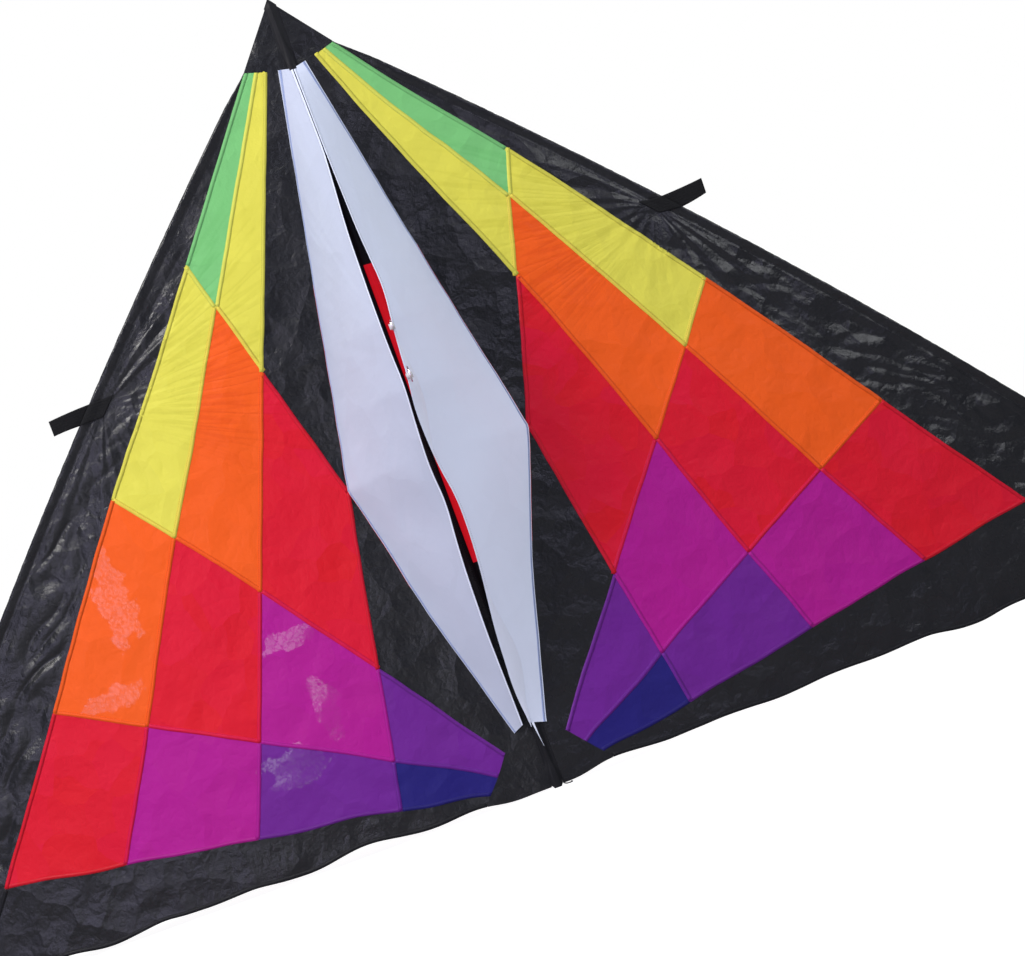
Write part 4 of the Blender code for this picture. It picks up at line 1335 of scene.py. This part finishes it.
def add_knot(end):
    """A small overhand knot at the cord's end."""
    form = bmesh.new()
    bmesh.ops.create_icosphere(form, subdivisions=3, radius=KNOT_RADIUS)
    for vert in form.verts:
        turn = math.atan2(vert.co.z, vert.co.y) * 2 + vert.co.x * 1800
        vert.co *= 0.86 + 0.14 * math.sin(turn)
    form.normal_update()
    mesh = bpy.data.meshes.new("tail_cord_knot")
    form.to_mesh(mesh)
    form.free()
    mesh.shade_smooth()
    mesh.materials.append(thread_material("knot", (0.014, 0.014, 0.016)))
    knot = bpy.data.objects.new("tail_cord_knot", mesh)
    knot.location = end + Vector((0.0012, 0, 0.0007))
    bpy.context.scene.collection.objects.link(knot)
    return knot


# Camera, light and floor
def add_camera():
    azimuth, elevation, roll = CAMERA_AZIMUTH, CAMERA_ELEVATION, CAMERA_ROLL
    ahead = Vector(
        (
            math.sin(azimuth) * math.cos(elevation),
            math.cos(azimuth) * math.cos(elevation),
            -math.sin(elevation),
        )
    )
    level_right = ahead.cross(Vector((0, 0, 1))).normalized()
    level_up = level_right.cross(ahead)
    right = level_right * math.cos(roll) + level_up * math.sin(roll)
    up = level_up * math.cos(roll) - level_right * math.sin(roll)
    data = bpy.data.cameras.new("camera")
    data.lens = CAMERA_LENS
    data.sensor_width = SENSOR_WIDTH
    camera = bpy.data.objects.new("camera", data)
    bpy.context.scene.collection.objects.link(camera)
    camera.matrix_world = Matrix((right, up, -ahead)).transposed().to_4x4()
    camera.location = CAMERA_TARGET - ahead * CAMERA_DISTANCE
    bpy.context.scene.camera = camera


def add_light(name, place, target, width, height, power, colour=(1, 1, 1)):
    data = bpy.data.lights.new(name, "AREA")
    data.shape = "RECTANGLE"
    data.size = width
    data.size_y = height
    data.energy = power
    data.color = colour
    light = bpy.data.objects.new(name, data)
    bpy.context.scene.collection.objects.link(light)
    light.location = place
    light.rotation_euler = (Vector(target) - Vector(place)).to_track_quat("-Z", "Y").to_euler()


def add_world():
    """White behind the object, and a dim even sky for everything else."""
    world = bpy.data.worlds.new("studio")
    world.use_nodes = True
    bpy.context.scene.world = world
    tree = world.node_tree
    sky = tree.nodes["Background"]
    sky.inputs["Color"].default_value = (0.80, 0.87, 1.0, 1)
    sky.inputs["Strength"].default_value = 0.20
    plain = add_node(tree, "ShaderNodeBackground", {"Color": (1, 1, 1, 1), "Strength": 1.0})
    path = add_node(tree, "ShaderNodeLightPath", {})
    both = add_node(
        tree,
        "ShaderNodeMixShader",
        {0: path.outputs["Is Camera Ray"], 1: sky.outputs[0], 2: plain.outputs[0]},
    )
    tree.links.new(both.outputs[0], tree.nodes["World Output"].inputs["Surface"])


def add_floor():
    bpy.ops.mesh.primitive_circle_add(vertices=96, radius=9, fill_type="NGON", location=(0, 0, -0.0005))
    floor = bpy.context.object
    floor.name = "floor"
    material, tree, shader = new_material("floor")
    add_tint(tree, shader, add_noise(tree, 3.0), (0.38, 0.38, 0.38), (0.42, 0.42, 0.42))
    shader.inputs["Roughness"].default_value = 0.9
    shader.inputs["Emission Color"].default_value = (1, 1, 1, 1)
    path = add_node(tree, "ShaderNodeLightPath", {})
    seen = {"Value": path.outputs["Is Camera Ray"], "To Min": 0.0, "To Max": 0.85}
    shown = add_node(tree, "ShaderNodeMapRange", seen).outputs["Result"]
    tree.links.new(shown, shader.inputs["Emission Strength"])
    floor.data.materials.append(material)


add_camera()
add_cord()
for label, side in SIDES.items():
    add_sail(label, side)
    add_band(label, side)
    add_keel(label, side)
    add_strap(label, side)
add_pocket()
for label, drop in zip(("upper", "lower"), TOW_DROPS):
    add_tow_tab(label, drop)
for node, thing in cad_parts.items():
    if node.endswith(("_rod", "_spar")):
        thing.data.materials.clear()
        thing.data.materials.append(ROD)
    elif node.endswith(("_cap", "_hook")):
        thing.data.materials.clear()
        thing.data.materials.append(MOULDING)
    elif node.endswith("_tow_ring"):
        thing.data.materials.clear()
        thing.data.materials.append(STEEL)
add_world()
add_floor()
add_light("key", (-3.9, -3.25, 4.8), (0, 0, 0.8), 1.8, 1.4, 285, (1.0, 0.98, 0.95))
add_light("top", (0.5, -4.4, 6.2), (0, 0, 0.8), 3.0, 2.0, 97, (0.95, 0.97, 1.0))
add_light("right", (4.7, -2.8, 3.3), (0, 0, 0.8), 2.0, 2.0, 85, (0.95, 0.97, 1.0))
for pane in range(-1, 2):
    place = (-4.6 + 0.70 * pane, -3.9 - 0.55 * pane, 1.75)
    add_light(f"left_window_{pane + 2}", place, (-0.8, 0.1, 0.8), 0.5, 3.4, 26, (0.72, 0.68, 1.0))
for pane in range(2):
    place = (2.4 + 0.9 * pane, -5.1 + 0.45 * pane, 2.4)
    add_light(f"right_window_{pane + 1}", place, (0.6, 0.1, 1.0), 0.5, 1.8, 14, (0.72, 0.70, 1.0))
add_light("nose_window", (-1.7, -5.4, 3.1), (0, 0, 1.65), 0.6, 1.2, 12, (0.70, 0.74, 1.0))
add_light("low_glint", (-2.6, -4.4, 0.52), (-0.45, 0.06, 0.36), 1.1, 0.95, 8.5, (0.95, 0.96, 1.0))
add_light("high_glint", (-3.6, -4.3, 1.15), (-0.74, 0.12, 0.70), 0.9, 0.9, 1.1, (1.0, 0.97, 0.95))
add_light("back", (2.5, 4.5, 3.0), (0, 0, 0.9), 3.0, 2.0, 110, (1.0, 1.0, 1.0))
bpy.context.scene.view_settings.view_transform = "Standard"
